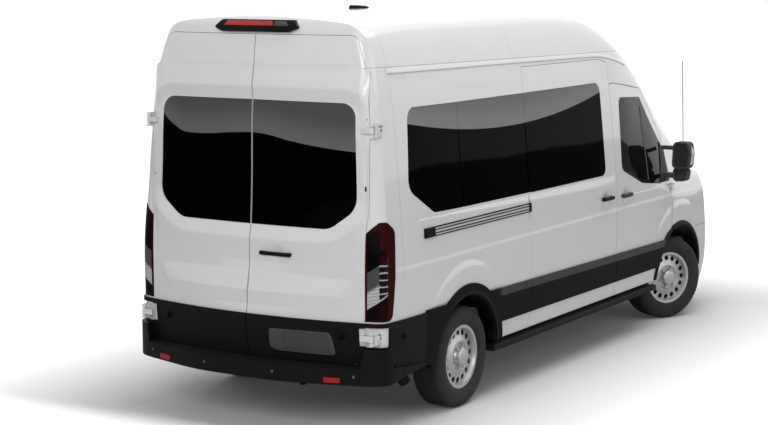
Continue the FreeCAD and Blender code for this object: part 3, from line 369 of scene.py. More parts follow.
castIron = plain("castIron", (0.12, 0.12, 0.12), 0.6, 150.0, metallic=0.5, bump=0.5)
dashPlastic = plain("dashPlastic", (0.035, 0.035, 0.038), 0.6, 900.0, bump=0.5)
seatCloth = plain("seatCloth", (0.045, 0.046, 0.05), 0.9, 1200.0, bump=0.6)
reflectorRed = plain("reflectorRed", (0.36, 0.006, 0.006), 0.25, 900.0, coat=0.2, bump=0.3,
                     shine=0.2)
plateGrey = plain("blankPlate", (0.050, 0.050, 0.051), 0.5, 500.0, shine=0.2)
sensorGrey = plain("sensorGrey", (0.085, 0.085, 0.085), 0.5, 500.0, shine=0.3)
recessGrey = plain("recessGrey", (0.060, 0.060, 0.061), 0.55, 600.0, shine=0.2)
liningGrey = plain("liningGrey", (0.060, 0.062, 0.065), 0.6, 500.0, bump=0.3, shine=0.2)
screenGlass = plain("screenGlass", (0.004, 0.004, 0.005), 0.08, 300.0, coat=0.4, bump=0.0)
lampTube = plain("lampTube", (0.80, 0.80, 0.80), 0.2, 500.0, bump=0.0)
mirrorGlass = plain("mirrorGlass", (0.030, 0.031, 0.032), 0.06, 200.0, bump=0.0, shine=0.3)
signalLens = plain("signalLens", (0.62, 0.60, 0.56), 0.15, 500.0, coat=0.4, bump=0.0)
print("materials made")

nodeLooks = {
    "body_paint": paint, "black_plastic": blackPlastic, "glass_dark": darkGlass,
    "glass_clear": cabGlass, "tyre": rubber, "rim_silver": rimSilver, "chassis": chassisBlack,
    "lamp_red": tailLamp, "lamp_clear": lampClear, "seat_fabric": seatCloth,
    "dash_plastic": dashPlastic, "engine_metal": castIron, "exhaust_metal": steel}
slotOf = {s["node"]: s["material_slot"] for s in frame["record"]["subparts"]}
clad = ("side_cladding", "front_door_trim_left", "front_door_trim_right")
for nodeName, obj in frame["nodes"].items():
    look = cladding if nodeName in clad else nodeLooks[slotOf[nodeName]]
    obj.data.materials.clear()
    obj.data.materials.append(look)
print("cad nodes dressed")

cameraLook = {"place": (-12.414, -6.986, 3.065), "yaw": 31.91, "pitch": -7.88, "roll": -0.17,
              "lens": 84.15, "sensor": 36.0, "farthest": 200.0}
stageLook = {"floorTint": (0.74, 0.74, 0.74), "glowFar": 0.80, "worldLight": 0.30,
             "worldShine": 1.5, "half": 60,
             "lamps": {"topLamp": ((0.5, -2.0, 9.0), (0, 0, 1), (9.0, 6.0), 425.0),
                       "rearLamp": ((-11.0, -3.0, 5.5), (-2, 0, 1.3), (5.0, 4.0), 400.0),
                       "sideLamp": ((-1.0, -10.0, 5.0), (0, -1, 1.2), (8.0, 4.0), 95.0),
                       "frontLamp": ((10.0, 5.0, 5.0), (2, 0, 1.2), (6.0, 4.0), 150.0)}}


def stand(name, data, side, up, ahead, place):
    # a camera or lamp that looks ahead from a place
    thing = bpy.data.objects.new(name, data)
    m = np.eye(4)
    m[:3, 0], m[:3, 1], m[:3, 2], m[:3, 3] = side, up, -ahead, place
    thing.matrix_world = Matrix(m.tolist())
    bpy.context.scene.collection.objects.link(thing)
    return thing


def unit(v):
    v = np.array(v, float)
    return v / np.linalg.norm(v)


def setCamera():
    yaw, pitch, roll = [math.radians(cameraLook[k]) for k in ("yaw", "pitch", "roll")]
    ahead = np.array([math.cos(yaw) * math.cos(pitch), math.sin(yaw) * math.cos(pitch),
                      math.sin(pitch)])
    right = unit(np.cross(ahead, (0, 0, 1)))
    up = np.cross(right, ahead)
    data = bpy.data.cameras.new("photoCamera")
    data.lens = cameraLook["lens"]
    data.sensor_width = cameraLook["sensor"]
    data.clip_end = cameraLook["farthest"]
    bpy.context.scene.camera = stand(
        "photoCamera", data, right * math.cos(roll) + up * math.sin(roll),
        up * math.cos(roll) - right * math.sin(roll), ahead, cameraLook["place"])


def addLamps():
    for name, (place, aim, size, power) in stageLook["lamps"].items():
        data = bpy.data.lights.new(name, "AREA")
        data.shape = "RECTANGLE"
        data.size, data.size_y = size
        data.energy = power
        ahead = unit(np.array(aim, float) - np.array(place, float))
        # a slight lean keeps the cross product alive for a lamp that looks straight down
        side = unit(np.cross(ahead, (0.0, 0.01, 1.0)))
        stand(name, data, side, np.cross(side, ahead), ahead, place)


def buildWorld():
    # the camera sees white; surfaces get less light from it, and mirrors more
    bpy.context.scene.view_settings.view_transform = "Standard"
    world = bpy.data.worlds.new("studio")
    bpy.context.scene.world = world
    world.use_nodes = True
    back = world.node_tree.nodes["Background"]
    path = world.node_tree.nodes.new("ShaderNodeLightPath").outputs
    seen = term(path["Is Camera Ray"]).atLeast(path["Is Transmission Ray"])
    level = seen * (1.0 - stageLook["worldLight"]) + stageLook["worldLight"]
    shine = term(path["Is Glossy Ray"]) * stageLook["worldShine"]
    feed(back.inputs["Color"], (1.0, 1.0, 1.0))
    feed(back.inputs["Strength"], level.atLeast(shine))


def buildFloor():
    # the paper glows white with distance from the van's outline, so no horizon shows; this glow is
    # painted light, and its fall near the van leaves painted shade that sets how far the shadow
    # reaches
    mesh = bpy.data.meshes.new("studioFloor")
    h = stageLook["half"]
    mesh.from_pydata([(-h, -h, 0), (h, -h, 0), (h, h, 0), (-h, h, 0)], [], [(0, 1, 2, 3)])
    floor = bpy.data.objects.new("studioFloor", mesh)
    bpy.context.scene.collection.objects.link(floor)
    mat, tree, inputs = newMaterial("floorPaper", colour=stageLook["floorTint"], rough=0.9,
                                    shine=0.1, glow=1.0)
    path = tree.nodes.new("ShaderNodeLightPath").outputs
    _, x, y, _ = objectXyz(tree)
    # five times the distance behind the van, or the distance before it, and that beside it
    past = ((x * -1.0 - 3.0) * 5.0).atLeast(x - 2.9).atLeast(0.0)
    aside = (abs(y) - 1.0).atLeast(0.0)
    gap = (past * past + aside * aside).maths("SQRT")
    # painted light for camera rays: no glow near the van, rising to full glow away from it
    level = gap.rise(-0.3, 2.6) * stageLook["glowFar"] * path["Is Camera Ray"]
    feed(inputs["Emission Color"], mixColour(level, (0.0, 0.0, 0.0), (1.0, 1.0, 1.0)))
    mesh.materials.append(mat)


setCamera()
buildWorld()
buildFloor()
addLamps()
print("camera and stage set")


def gridPart(xyz, wrapU=False, wrapV=False):
    # neighbouring points of a rows by columns array are joined by quads
    n, m = xyz.shape[:2]
    i, j = np.meshgrid(np.arange(n if wrapU else n - 1), np.arange(m if wrapV else m - 1),
                       indexing="ij")
    nextI, nextJ = (i + 1) % n, (j + 1) % m
    quads = np.stack([i * m + j, i * m + nextJ, nextI * m + nextJ, nextI * m + j], -1)
    return xyz.reshape(-1, 3), quads.reshape(-1, 4)


def capped(xyz):
    # both open ends of a run of rings drawn in to their middles
    mid = xyz.mean(1, keepdims=True)
    count = xyz.shape[1]
    return np.concatenate([np.repeat(mid[:1], count, 1), xyz, np.repeat(mid[-1:], count, 1)], 0)


def makePiece(name, parts, look, body="shell", angle=35.0):
    # parts are (points, quads) pairs; doubles are merged and faces turned outwards
    verts, quads, shift = [], [], 0
    for v, q in parts:
        verts.append(v)
        quads.append(q + shift)
        shift += len(v)
    mesh = bpy.data.meshes.new(name)
    mesh.from_pydata(np.concatenate(verts).tolist(), [], np.concatenate(quads).tolist())
    work = bmesh.new()
    work.from_mesh(mesh)
    bmesh.ops.remove_doubles(work, verts=work.verts, dist=0.00005)
    bmesh.ops.dissolve_degenerate(work, edges=work.edges, dist=0.00002)
    bmesh.ops.recalc_face_normals(work, faces=work.faces)
    work.to_mesh(mesh)
    work.free()
    mesh.shade_smooth()
    mesh.set_sharp_from_angle(angle=math.radians(angle))
    mesh.materials.append(look)
    obj = bpy.data.objects.new(name, mesh)
    bpy.context.scene.collection.objects.link(obj)
    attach(obj, body)
    return obj


def curveThrough(points):
    # smooth line through points whose slope at each point is the harmonic mean of its neighbours
    p = np.array(points, float) * 0.001
    xs, ys = p[:, 0], p[:, 1]
    slope = np.diff(ys) / np.diff(xs)
    a, b = slope[:-1], slope[1:]
    same = a * b > 0
    mid = np.where(same, 2 * a * b / np.where(same, a + b, 1.0), 0.0)
    rate = np.concatenate([slope[:1], mid, slope[-1:]])

    def value(x):
        x = np.asarray(x, float)
        i = np.clip(np.searchsorted(xs, x) - 1, 0, len(xs) - 2)
        h = xs[i + 1] - xs[i]
        t = (x - xs[i]) / h
        inside = (ys[i] * (1 + 2 * t) * (1 - t) ** 2 + h * rate[i] * t * (1 - t) ** 2
                  + ys[i + 1] * t * t * (3 - 2 * t) + h * rate[i + 1] * t * t * (t - 1))
        low = ys[0] + rate[0] * (x - xs[0])
        high = ys[-1] + rate[-1] * (x - xs[-1])
        return np.where(x < xs[0], low, np.where(x > xs[-1], high, inside))
    return value


def ease(a, b, x):
    t = np.clip((np.asarray(x, float) - a) / (b - a), 0, 1)
    return t * t * (3 - 2 * t)


# The body's outline in mm, as in the part's source, read here in metres.
halfWidth = curveThrough([(330, 985), (450, 1003), (600, 1013), (800, 1018), (1000, 1017),
                          (1150, 1012), (1300, 1005), (1400, 998), (1600, 982), (1800, 965),
                          (2000, 947), (2130, 934), (2340, 905), (2400, 894), (2550, 848)])
tailLine = curveThrough([(300, -2868), (485, -2898), (600, -2916), (769, -2928), (900, -2912),
                         (1000, -2900), (1348, -2868), (1700, -2850), (2187, -2830),
                         (2400, -2812), (2611, -2784), (2665, -2768), (2705, -2738),
                         (2735, -2680), (2760, -2560)])
tailBow = curveThrough([(300, 100), (769, 98), (1000, 72), (1348, 54), (2187, 60), (2611, 72),
                        (2760, 90)])


def onSide(side):
    # (x, z, lift) to a point off the body side: half width less the cab's and the tail's taper
    def place(x, z, lift):
        x, z = np.broadcast_arrays(np.asarray(x, float), np.asarray(z, float))
        cab = 0.130 * ease(0.7, 2.3, x) * ease(1.0, 2.0, z)
        cab = cab + 0.060 * ease(1.5, 2.45, x) * ease(1.0, 1.4, z)
        tail = 0.028 * np.clip((-2.35 - x) / 0.45, 0, None) ** 2
        return np.stack([x, side * (halfWidth(z) - cab - tail + lift), z], -1)
    return place


def onTail(y, z, lift):
    # off the tail: its line plus the depth, at y, of an arc that rises by the bow over the reach
    y, z = np.broadcast_arrays(np.asarray(y, float), np.asarray(z, float))
    reach, bow = 0.86, tailBow(z)
    arc = reach ** 2 / (2 * bow) + bow / 2
    depth = arc - np.sqrt(np.maximum(arc ** 2 - y ** 2, 0.01))
    return np.stack([tailLine(z) + depth - lift, y, z], -1)


def onCad(names, axis, sign=1):
    # (a, b, lift) to a point off the named CAD pieces, met by a ray down one axis
    trees = []
    for name in names:
        mesh = frame["nodes"][name].data
        trees.append(BVHTree.FromPolygons([v.co for v in mesh.vertices],
                                          [tuple(p.vertices) for p in mesh.polygons]))
    others = [k for k in range(3) if k != axis]
    toward = Vector([-sign if k == axis else 0 for k in range(3)])

    def place(a, b, lift):
        a, b, lift = np.broadcast_arrays(a, b, lift)
        made = np.zeros(a.shape + (3,))
        # a ray that meets nothing keeps the height of the last one that met a face
        last = 0.0
        for i in np.ndindex(a.shape):
            start = Vector((0, 0, 0))
            start[axis] = sign * 5.0
            start[others[0]], start[others[1]] = float(a[i]), float(b[i])
            hits = [h for h in (t.ray_cast(start, toward) for t in trees) if h[0] is not None]
            if hits:
                last = min(hits, key=lambda h: h[3])[0][axis]
            made[i] = start
            made[i][axis] = last + sign * lift[i]
        return made
    return place


def alongLine(p, count, closed):
    # points spaced evenly along joined corners, and the whole length
    step = np.hypot(*np.diff(p, axis=0).T)
    along = np.concatenate([[0], np.cumsum(step)])
    s = np.linspace(0, along[-1], count, endpoint=not closed)
    return np.stack([np.interp(s, along, p[:, k]) for k in (0, 1)], -1), along[-1]


def roundedOutline(points, rounding, count=96):
    # closed corners, sampled evenly and averaged along the line to round them
    p = np.array(points, float)
    line, length = alongLine(np.vstack([p, p[:1]]), count, True)
    half = max(0, int(round(rounding / length * count)))
    return sum(np.roll(line, k, 0) for k in range(-half, half + 1)) / (2 * half + 1)


def smoothRun(points, rounding, count):
    # the same for an open line, which is carried straight on past its ends before the averaging
    line, length = alongLine(np.array(points, float), count, False)
    half = int(round(rounding / length * count))
    reach = np.arange(half, 0, -1)[:, None] * length / count
    before = line[0] - unit(line[1] - line[0]) * reach
    after = line[-1] + unit(line[-1] - line[-2]) * reach[::-1]
    pad = np.concatenate([before, line, after])
    kernel = np.ones(2 * half + 1) / (2 * half + 1)
    return np.stack([np.convolve(pad[:, k], kernel, "valid") for k in (0, 1)], -1)


def fullTurn(count):
    return np.linspace(0, 2 * math.pi, count, endpoint=False)


def circle(a, b, radius, count=40):
    t = fullTurn(count)
    return np.stack([a + radius * np.cos(t), b + radius * np.sin(t)], -1)


def platePart(outline, place, top, bottom=0.0, edge=0.15, dish=0.0, rings=6):
    # plate on a surface: rings from the middle to the outline, rounded at the edge, closed below
    mid = outline.mean(0)
    s = np.linspace(0, 1, rings) ** 0.7
    out = s * (1 - edge)
    turn = np.linspace(0, math.pi / 2, 5)[1:]
    scale = np.concatenate([out, 1 - edge + edge * np.sin(turn), [1.0], out[::-1]])
    high = np.concatenate([top - dish * (1 - s ** 2), bottom + (top - bottom) * np.cos(turn),
                           [bottom], np.full(rings, bottom)])
    flat = mid + scale[:, None, None] * (outline - mid)[None]
    lift = np.broadcast_to(high[:, None], flat.shape[:2])
    return gridPart(place(flat[..., 0], flat[..., 1], lift), wrapV=True)


def cornered(points, rounding, place, top, bottom=0.0, edge=0.15, count=96, turn=1):
    # a plate with rounded corners; turn is -1 for the right side of a pair
    return platePart(roundedOutline(points, rounding, count) * (turn, 1), place, top, bottom, edge)


def oblong(a0, a1, b0, b1):
    return [(a0, b1), (a1, b1), (a1, b0), (a0, b0)]


def ringPart(outline, place, profile, openRun=False):
    # band round an outline: (distance outwards, lift) pairs carried square to it, closed below
    if openRun:
        along = np.gradient(outline, axis=0)
    else:
        along = np.roll(outline, -1, 0) - np.roll(outline, 1, 0)
    along /= np.linalg.norm(along, axis=1)[:, None]
    out = np.stack([along[:, 1], -along[:, 0]], -1)
    prof = np.array(profile, float)
    low = np.stack([prof[::-1, 0], np.full(len(prof), prof[:, 1].min() - 0.0015)], -1)
    prof = np.concatenate([prof, low])
    flat = outline[:, None] + out[:, None] * prof[None, :, :1]
    xyz = place(flat[..., 0], flat[..., 1], np.broadcast_to(prof[None, :, 1], flat.shape[:2]))
    return gridPart(capped(xyz) if openRun else xyz, wrapU=not openRun, wrapV=True)


def stripPart(points, place, width, top, bottom):
    # flat strip along a line on a surface, rounded across
    w = width / 2
    prof = [(-w, bottom), (-w * 0.96, top * 0.7), (-w * 0.8, top), (w * 0.8, top),
            (w * 0.96, top * 0.7), (w, bottom)]
    return ringPart(smoothRun(points, 0.004, 160), place, prof, openRun=True)


def skinPart(place, u, v, lift, depth=0.004):
    # a thin skin over a surface with a field of lifts, closed by a floor below
    a, b = np.meshgrid(u, v, indexing="ij")
    return [gridPart(place(a, b, lift(a, b))), gridPart(place(a, b, np.full_like(a, -depth)))]


def sweepPart(path, profile, up=(0, 0, 1), closed=False):
    # a flat profile of (sideways, up) points carried square to a path; open ends are capped
    path = np.asarray(path, float)
    if closed:
        along = np.roll(path, -1, 0) - np.roll(path, 1, 0)
    else:
        along = np.gradient(path, axis=0)
    along /= np.linalg.norm(along, axis=1)[:, None]
    side = np.cross(along, np.broadcast_to(np.asarray(up, float), along.shape))
    side /= np.linalg.norm(side, axis=1)[:, None]
    over = np.cross(side, along)
    prof = np.asarray(profile, float)
    xyz = path[:, None] + side[:, None] * prof[None, :, :1] + over[:, None] * prof[None, :, 1:]
    return gridPart(xyz if closed else capped(xyz), wrapU=closed, wrapV=True)


def oval(width, height=None, count=12):
    t = fullTurn(count)
    return np.stack([width / 2 * np.cos(t), (height or width) / 2 * np.sin(t)], -1)


def softBox(centre, size, power=0.35, count=28):
    # superellipsoid: powers of cosine and sine of two angles, between a box and an ellipsoid
    u = np.linspace(-math.pi / 2, math.pi / 2, count // 2 + 1)[:, None]
    v = fullTurn(count)[None]

    def bent(f):
        return np.sign(f) * np.abs(f) ** power
    xyz = np.stack([bent(np.cos(u)) * bent(np.cos(v)), bent(np.cos(u)) * bent(np.sin(v)),
                    bent(np.sin(u)) * np.ones_like(v)], -1)
    return gridPart(xyz * np.array(size) / 2 + np.array(centre), wrapV=True)


def flatBox(a, b, bevel=0.15):
    # soft edged box between two corners
    a, b = np.array(a, float), np.array(b, float)
    return softBox((a + b) / 2, np.abs(b - a), bevel, 24)


def turnedPart(profile, centre, axis, count=48):
    # (radius, height) points turned about an axis through a centre
    prof = np.asarray(profile, float)
    a = unit(axis)
    e1 = unit(np.cross(a, (0.0, 0, 1) if abs(a[2]) < 0.9 else (1.0, 0, 0)))
    e2 = np.cross(a, e1)
    t = fullTurn(count)
    ring = np.cos(t)[:, None] * e1 + np.sin(t)[:, None] * e2
    xyz = (np.asarray(centre, float) + prof[:, None, :1] * ring[None]
           + prof[:, None, 1:] * a[None, None])
    return gridPart(xyz, wrapV=True)


tyreLook = {"halfWidth": 0.1175, "rim": 0.223, "blocks": 68, "depth": 0.007, "steer": 27.0,
            "kingY": 0.836, "grooves": (-0.46, -0.155, 0.155, 0.46), "count": 612,
            "bead": [(-0.002, 0.030), (0.004, 0.016), (0.020, 0.006), (0.055, 0.0005),
                     (0.075, 0.001), (0.100, 0.007), (0.117, 0.014), (0.127, 0.026)]}


def tyreForm():
    # tyre section turned round: tread grooves and slots are cuts in radius along width and angle
    w, rim, blocks = tyreLook["halfWidth"], tyreLook["rim"], tyreLook["blocks"]
    half = np.array([(rim + out, inward - w) for out, inward in tyreLook["bead"]])
    tread = np.linspace(-w + 0.034, w - 0.034, 45)
    crown = wheelRadius - 0.0035 * (tread / w) ** 2
    inner = np.array([(rim - 0.002, w - 0.034), (rim - 0.002, -w + 0.034)])
    prof = np.concatenate([half, np.stack([crown, tread], -1), half[::-1] * [1, -1], inner])
    t = fullTurn(tyreLook["count"])
    rad, wide = [np.repeat(prof[:, k:k + 1], len(t), 1) for k in (0, 1)]
    place = wide / w
    onTread = (np.abs(wide) < w - 0.030) & (rad > rim + 0.11)
    ring = np.max([np.abs(place - c) < 0.035 for c in tyreLook["grooves"]], axis=0) * 1.0
    turn = t[None] * blocks / (2 * math.pi)
    slot = ((turn + 0.9 * np.abs(place) * 2.0) % 1.0 < 0.22) * (np.abs(place) > 0.18)
    cut = np.maximum(ring, slot * 0.8) * onTread
    shoulder = (turn % 1.0 < 0.4) * (np.abs(wide) > w - 0.030) * (rad > rim + 0.112)
    return rad - tyreLook["depth"] * cut - 0.003 * shoulder, wide, t


def placeWheel(rad, wide, t, end, side):
    # wheel coordinates to the frame: along the axle, then turned about the kingpin at the front
    axle = ends[end]["axle"]
    x = axle + rad * np.sin(t)
    y = side * (ends[end]["track"] / 2 + wide) + 0 * t
    z = wheelRadius + rad * np.cos(t)
    if end == "front":
        a = -math.radians(tyreLook["steer"])
        ky = side * tyreLook["kingY"]
        dx, dy = x - axle, y - ky
        x = axle + dx * math.cos(a) - dy * math.sin(a)
        y = ky + dx * math.sin(a) + dy * math.cos(a)
    return np.stack([x, y, z], -1)


def buildTyres():
    rad, wide, t = tyreForm()
    for end in ends:
        for side, word in sides:
            part = gridPart(placeWheel(rad, wide, t[None], end, side), wrapU=True, wrapV=True)
            obj = makePiece(f"tyreTread_{end}_{word}", [part], rubber, f"wheel_{end}_{word}",
                            angle=40.0)
            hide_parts(f"tyre_{end}_{word}")


buildTyres()
print("tyres made")

rearLook = {"recess": [(-0.181, 0.690), (-0.181, 0.560), (-0.215, 0.540), (-0.670, 0.540),
                       (-0.670, 0.575), (-0.640, 0.695)], "proud": 0.0145,
            "plate": [(-0.285, 0.682), (-0.285, 0.556), (-0.640, 0.556), (-0.622, 0.682)],
            "stops": {"left": (0.700, 0.682), "right": (-0.712, 0.684)},
            "wingStop": (-2.582, 0.665), "reflector": (0.685, 0.396), "sensors": (0.279, 0.828)}


def roundStop(spot, place, foot, button):
    # a rubber button on a flat foot, each given as its radius, height and depth
    p = rearLook["proud"]
    return [platePart(circle(*spot, radius), place, p + high, p + low, edge)
            for (radius, high, low), edge in ((foot, 0.3), (button, 0.5))]


def buildRear():
    # the plate's recess with its surround and blank plate, and the rubber stops
    p = rearLook["proud"]
    door = "rear_door_right"
    outer = roundedOutline(rearLook["recess"], 0.02)
    path = onTail(outer[:, 0], outer[:, 1], np.full(len(outer), p))
    makePiece("plateSurround", [sweepPart(path, oval(0.012, 0.008), (-1, 0, 0), True)],
              blackPlastic, door)
    makePiece("plateRecess", [platePart(outer, onTail, p + 0.0045, p - 0.002, 0.02)], recessGrey,
              door)
    makePiece("numberPlate", [cornered(rearLook["plate"], 0.008, onTail, p + 0.0085, p, 0.03,
                                       160)], plateGrey, door)
    for s, word in sides:
        wing = roundStop(rearLook["wingStop"], onSide(s), (0.033, 0.003, -0.006),
                         (0.024, 0.016, -0.004))
        makePiece("wingStop_" + word, wing, softBlack)
        bump = roundStop(rearLook["stops"][word], onTail, (0.034, 0.006, -0.002),
                         (0.023, 0.030, -0.002))
        makePiece("bumpStop_" + word, bump, softBlack, "rear_door_" + word)


bumperPlan = np.array([(0, -3.040), (0.279, -3.037), (0.5, -2.996), (0.685, -2.943),
                       (0.828, -2.902), (0.95, -2.85), (1.014, -2.78), (1.03, -2.68)])


def bumperFace(y):
    # the bumper's plan line through its measured points, the same on both sides
    return np.interp(np.abs(y), bumperPlan[:, 0], bumperPlan[:, 1])


def onBumper(a, b, lift):
    return np.stack([bumperFace(a) - lift, a, b + 0 * a], -1)


def buildBumper():
    parts = [platePart(circle(s * y, 0.425, 0.011), onBumper, 0.004, -0.01, 0.3)
             for s in (-1, 1) for y in rearLook["sensors"]]
    makePiece("parkingSensors", parts, sensorGrey)
    y, z = rearLook["reflector"]
    for s, word in sides:
        shape = oblong(s * y - 0.055, s * y + 0.055, z - 0.018, z + 0.018)
        makePiece("rearReflector_" + word, [cornered(shape, 0.008, onBumper, 0.007, -0.012, 0.1)],
                  reflectorRed)


buildRear()
buildBumper()
print("rear details made")

windowLook = {"line": [(0.004, 1.362), (0.606, 1.362), (0.800, 1.502), (0.778, 2.182),
                       (0.004, 2.187)], "edge": 0.866,
              "rim": [(0.004, 0.0003), (0.012, 0.0012), (0.030, 0.0034), (0.050, 0.0060),
                      (0.070, 0.0085), (0.084, 0.0100), (0.094, 0.0104), (0.106, 0.0100),
                      (0.130, 0.0086), (0.160, 0.0066), (0.190, 0.0044), (0.215, 0.0024),
                      (0.235, 0.0006), (0.250, -0.0012)]}


def atDoorEdge(a, b, lift):
    # a place on the tail that sinks into the skin towards the door's outer edge and its top
    edge = windowLook["edge"]
    held = np.sign(a) * np.minimum(np.abs(a), edge)
    keep = ease(edge, edge - 0.026, np.abs(a)) * ease(2.44, 2.40, b)
    return onTail(held, b, (lift + 0.0012) * keep - 0.0012)


def buildWindowRims():
    # the pressed slope round the rear glass: it rises from the glass, then eases into the door
    for side, word in sides:
        run = (smoothRun(windowLook["line"], 0.075, 160) * [side, 1])[::side]
        part = ringPart(run, atDoorEdge, windowLook["rim"], openRun=True)
        makePiece("rearWindowPress_" + word, [part], paint, "rear_door_" + word, angle=30.0)


ridgeLook = {"top": 1.070, "crest": 0.925, "bottom": 0.835, "rise": 0.0095,
             "beltRise": 0.0044, "beltLow": 1.06}


def ridgeRise(y, z):
    # slope out from the top to a crest, then back in; its ends slant
    top, crest, bottom = [ridgeLook[k] for k in ("top", "crest", "bottom")]
    end = 0.80 - 0.55 * np.clip(1.03 - z, 0, None)
    out = np.clip((top - z) / (top - crest), 0, 1)
    back = np.clip((z - bottom) / (crest - bottom), 0, 1)
    side = ease(end + 0.03, end - 0.03, np.abs(y))
    return ridgeLook["rise"] * np.minimum(out, back ** 0.8) * side - 0.0010


def beltRise(x, z):
    # outwards from the glass down to the belt crease, then slowly back
    crease = 1.325 - 0.031 * x
    above = np.clip((1.398 - z) / (1.398 - crease), 0, 1)
    below = ease(ridgeLook["beltLow"], crease, z)
    back = ease(-2.60, -2.35, x)
    return ridgeLook["beltRise"] * np.where(z > crease, above, below) * back - 0.0008


def frontBelt(x, z):
    # on the front doors the pressing dies out below the mirror and towards the hinge
    return (beltRise(x, z) + 0.0008) * ease(1.80, 1.50, x) * ease(1.205, 1.19, z) - 0.0008


def buildPressings():
    z = np.concatenate([np.linspace(0.83, 0.915, 14), np.linspace(0.921, 1.08, 26)])
    for side, word in sides:
        makePiece("rearDoorRidge_" + word, skinPart(onTail, side * np.linspace(0.0045, 0.862, 60),
                                                    z, ridgeRise),
                  paint, "rear_door_" + word, angle=30.0)
    for name, side, x0, x1, body in (("bodySide_left", 1, -2.60, 0.694, "shell"),
                                     ("bodySide_right", -1, -2.60, -0.808, "shell"),
                                     ("slidingDoor", -1, -0.792, 0.695, "shell"),
                                     ("frontDoor_left", 1, 0.738, 1.80, "front_door_left"),
                                     ("frontDoor_right", -1, 0.738, 1.80, "front_door_right")):
        x = np.linspace(x0, x1, int((x1 - x0) / 0.03) + 2)
        fixed = body == "shell"
        z = np.linspace(1.05, 1.398, 60) if fixed else np.linspace(1.05, 1.205, 30)
        rise = beltRise if fixed else frontBelt
        makePiece(name + "Belt", skinPart(onSide(side), x, z, rise), paint, body, angle=30.0)


gutterLook = {"line": [(-2.594, 2.373), (-1.9, 2.366), (-1.2, 2.361), (-0.5, 2.354), (0.1, 2.348),
                       (0.547, 2.341), (0.80, 2.310), (0.95, 2.277), (1.06, 2.247)],
              "section": [(-0.030, -0.001), (-0.016, 0.0035), (-0.002, 0.0075), (0.004, 0.0078),
                          (0.0075, 0.0060), (0.0085, -0.001)]}


def buildGutter():
    # ledge over the side doors: the roof side runs out into a sharp lower edge
    for side, word in sides:
        part = ringPart(smoothRun(gutterLook["line"], 0.08, 130), onSide(side),
                        gutterLook["section"], openRun=True)
        makePiece("roofGutter_" + word, [part], paint, angle=40.0)


archLook = {"radius": {"rear": 0.440, "front": 0.455}, "flare": 0.011, "from": 0.480,
            "crest": 0.615, "to": 0.705, "foot": 0.10,
            "liner": [(0.995, -0.0015), (1.0045, -0.0015), (1.0045, -0.009), (0.905, -0.009),
                      (0.905, -0.0015)]}


def buildArchLiners():
    # black plastic inside each wheel arch: an arc of the arch's circle carried inwards
    section = np.array(archLook["liner"])
    parts = []
    for end in ("rear", "front"):
        r = archLook["radius"][end]
        low = math.asin(archLook["foot"] / r)
        t = np.linspace(low, math.pi - low, 72)[:, None]
        ring = r + section[None, :, 1] + 0 * t
        for side in (-1, 1):
            xyz = np.stack([ends[end]["axle"] + ring * np.cos(t),
                            side * section[None, :, 0] + 0 * t,
                            wheelRadius + ring * np.sin(t)], -1)
            parts.append(gridPart(capped(xyz), wrapV=True))
    makePiece("archLiners", parts, softBlack)


def flarePart(end, side, angles, limits):
    # pressed flare over an arch: a bump across the radius, sunk below the skin past its limits
    t = np.linspace(*np.radians(angles), 90)[:, None]
    r = np.linspace(archLook["from"], archLook["to"], 26)[None]
    x = np.clip(ends[end]["axle"] + r * np.cos(t), *limits)
    z = np.maximum(wheelRadius + r * np.sin(t), 0.765)
    rise = 0.55 + 0.45 * ease(archLook["from"], archLook["crest"] - 0.02, r)
    fall = ease(archLook["to"], archLook["crest"], r)
    keep = ease(0.77, 0.81, z)
    for way, angle, limit in ((1, angles[0], limits[0]), (-1, angles[1], limits[1])):
        keep = keep * ease(math.radians(angle), math.radians(angle + way * 22), t)
        keep = keep * ease(limit, limit + way * 0.02, x)
    lift = archLook["flare"] * rise * fall * keep - 0.0012
    return [gridPart(onSide(side)(x, z, v)) for v in (lift, np.full_like(lift, -0.004))]


def buildFlares():
    for name, end, angles, limits in (("rearFlares", "rear", (18, 162), (-2.62, -0.812)),
                                      ("frontFlares", "front", (50, 165), (1.862, 2.60))):
        parts = flarePart(end, -1, angles, limits) + flarePart(end, 1, angles, limits)
        makePiece(name, parts, paint, angle=70.0)
    for side, word in sides:
        makePiece("doorFlare_" + word, flarePart("front", side, (18, 162), (1.0, 1.846)), paint,
                  "front_door_" + word, angle=70.0)


buildWindowRims()
buildPressings()
buildGutter()
buildArchLiners()
buildFlares()
print("pressings and arches made")

railLook = {"z": 1.2975, "from": -2.178, "to": -0.796,
            "strips": ((0.019, 0.010), (-0.001, 0.016), (-0.021, 0.010)),
            "lines": (0.030, 0.0105, -0.0125, -0.031)}


def buildRail():
    # the sliding door's rail: three bright strips, black lines along the grooves between them as
    # painted shade, and two end caps
    side = onSide(-1)
    z, a, b = railLook["z"], railLook["from"], railLook["to"]
    makePiece("railStrip", [stripPart([(a, z + d), (b, z + d)], side, w, 0.0095, 0.005)
                            for d, w in railLook["strips"]], railSteel)
    # painted shade: black strips laid along the rail's grooves
    makePiece("railGrooveShade", [stripPart([(a, z + d), (b, z + d)], side, 0.006, 0.0075, 0.005)
                              for d in railLook["lines"]], softBlack)
    parts = [cornered(oblong(-2.313, a, z - 0.033, z + 0.033), 0.008, side, 0.016, 0.004, 0.06),
             cornered(oblong(-0.815, -0.776, z - 0.034, z + 0.034), 0.004, side, 0.012, 0.004,
                      0.08)]
    makePiece("railCaps", parts, softBlack)


stopLook = {"lens": [(0.262, 2.668), (0.238, 2.699), (-0.128, 2.699), (-0.142, 2.668)],
            "panel": [(-0.150, 2.668), (-0.146, 2.698), (-0.232, 2.698), (-0.262, 2.668)]}


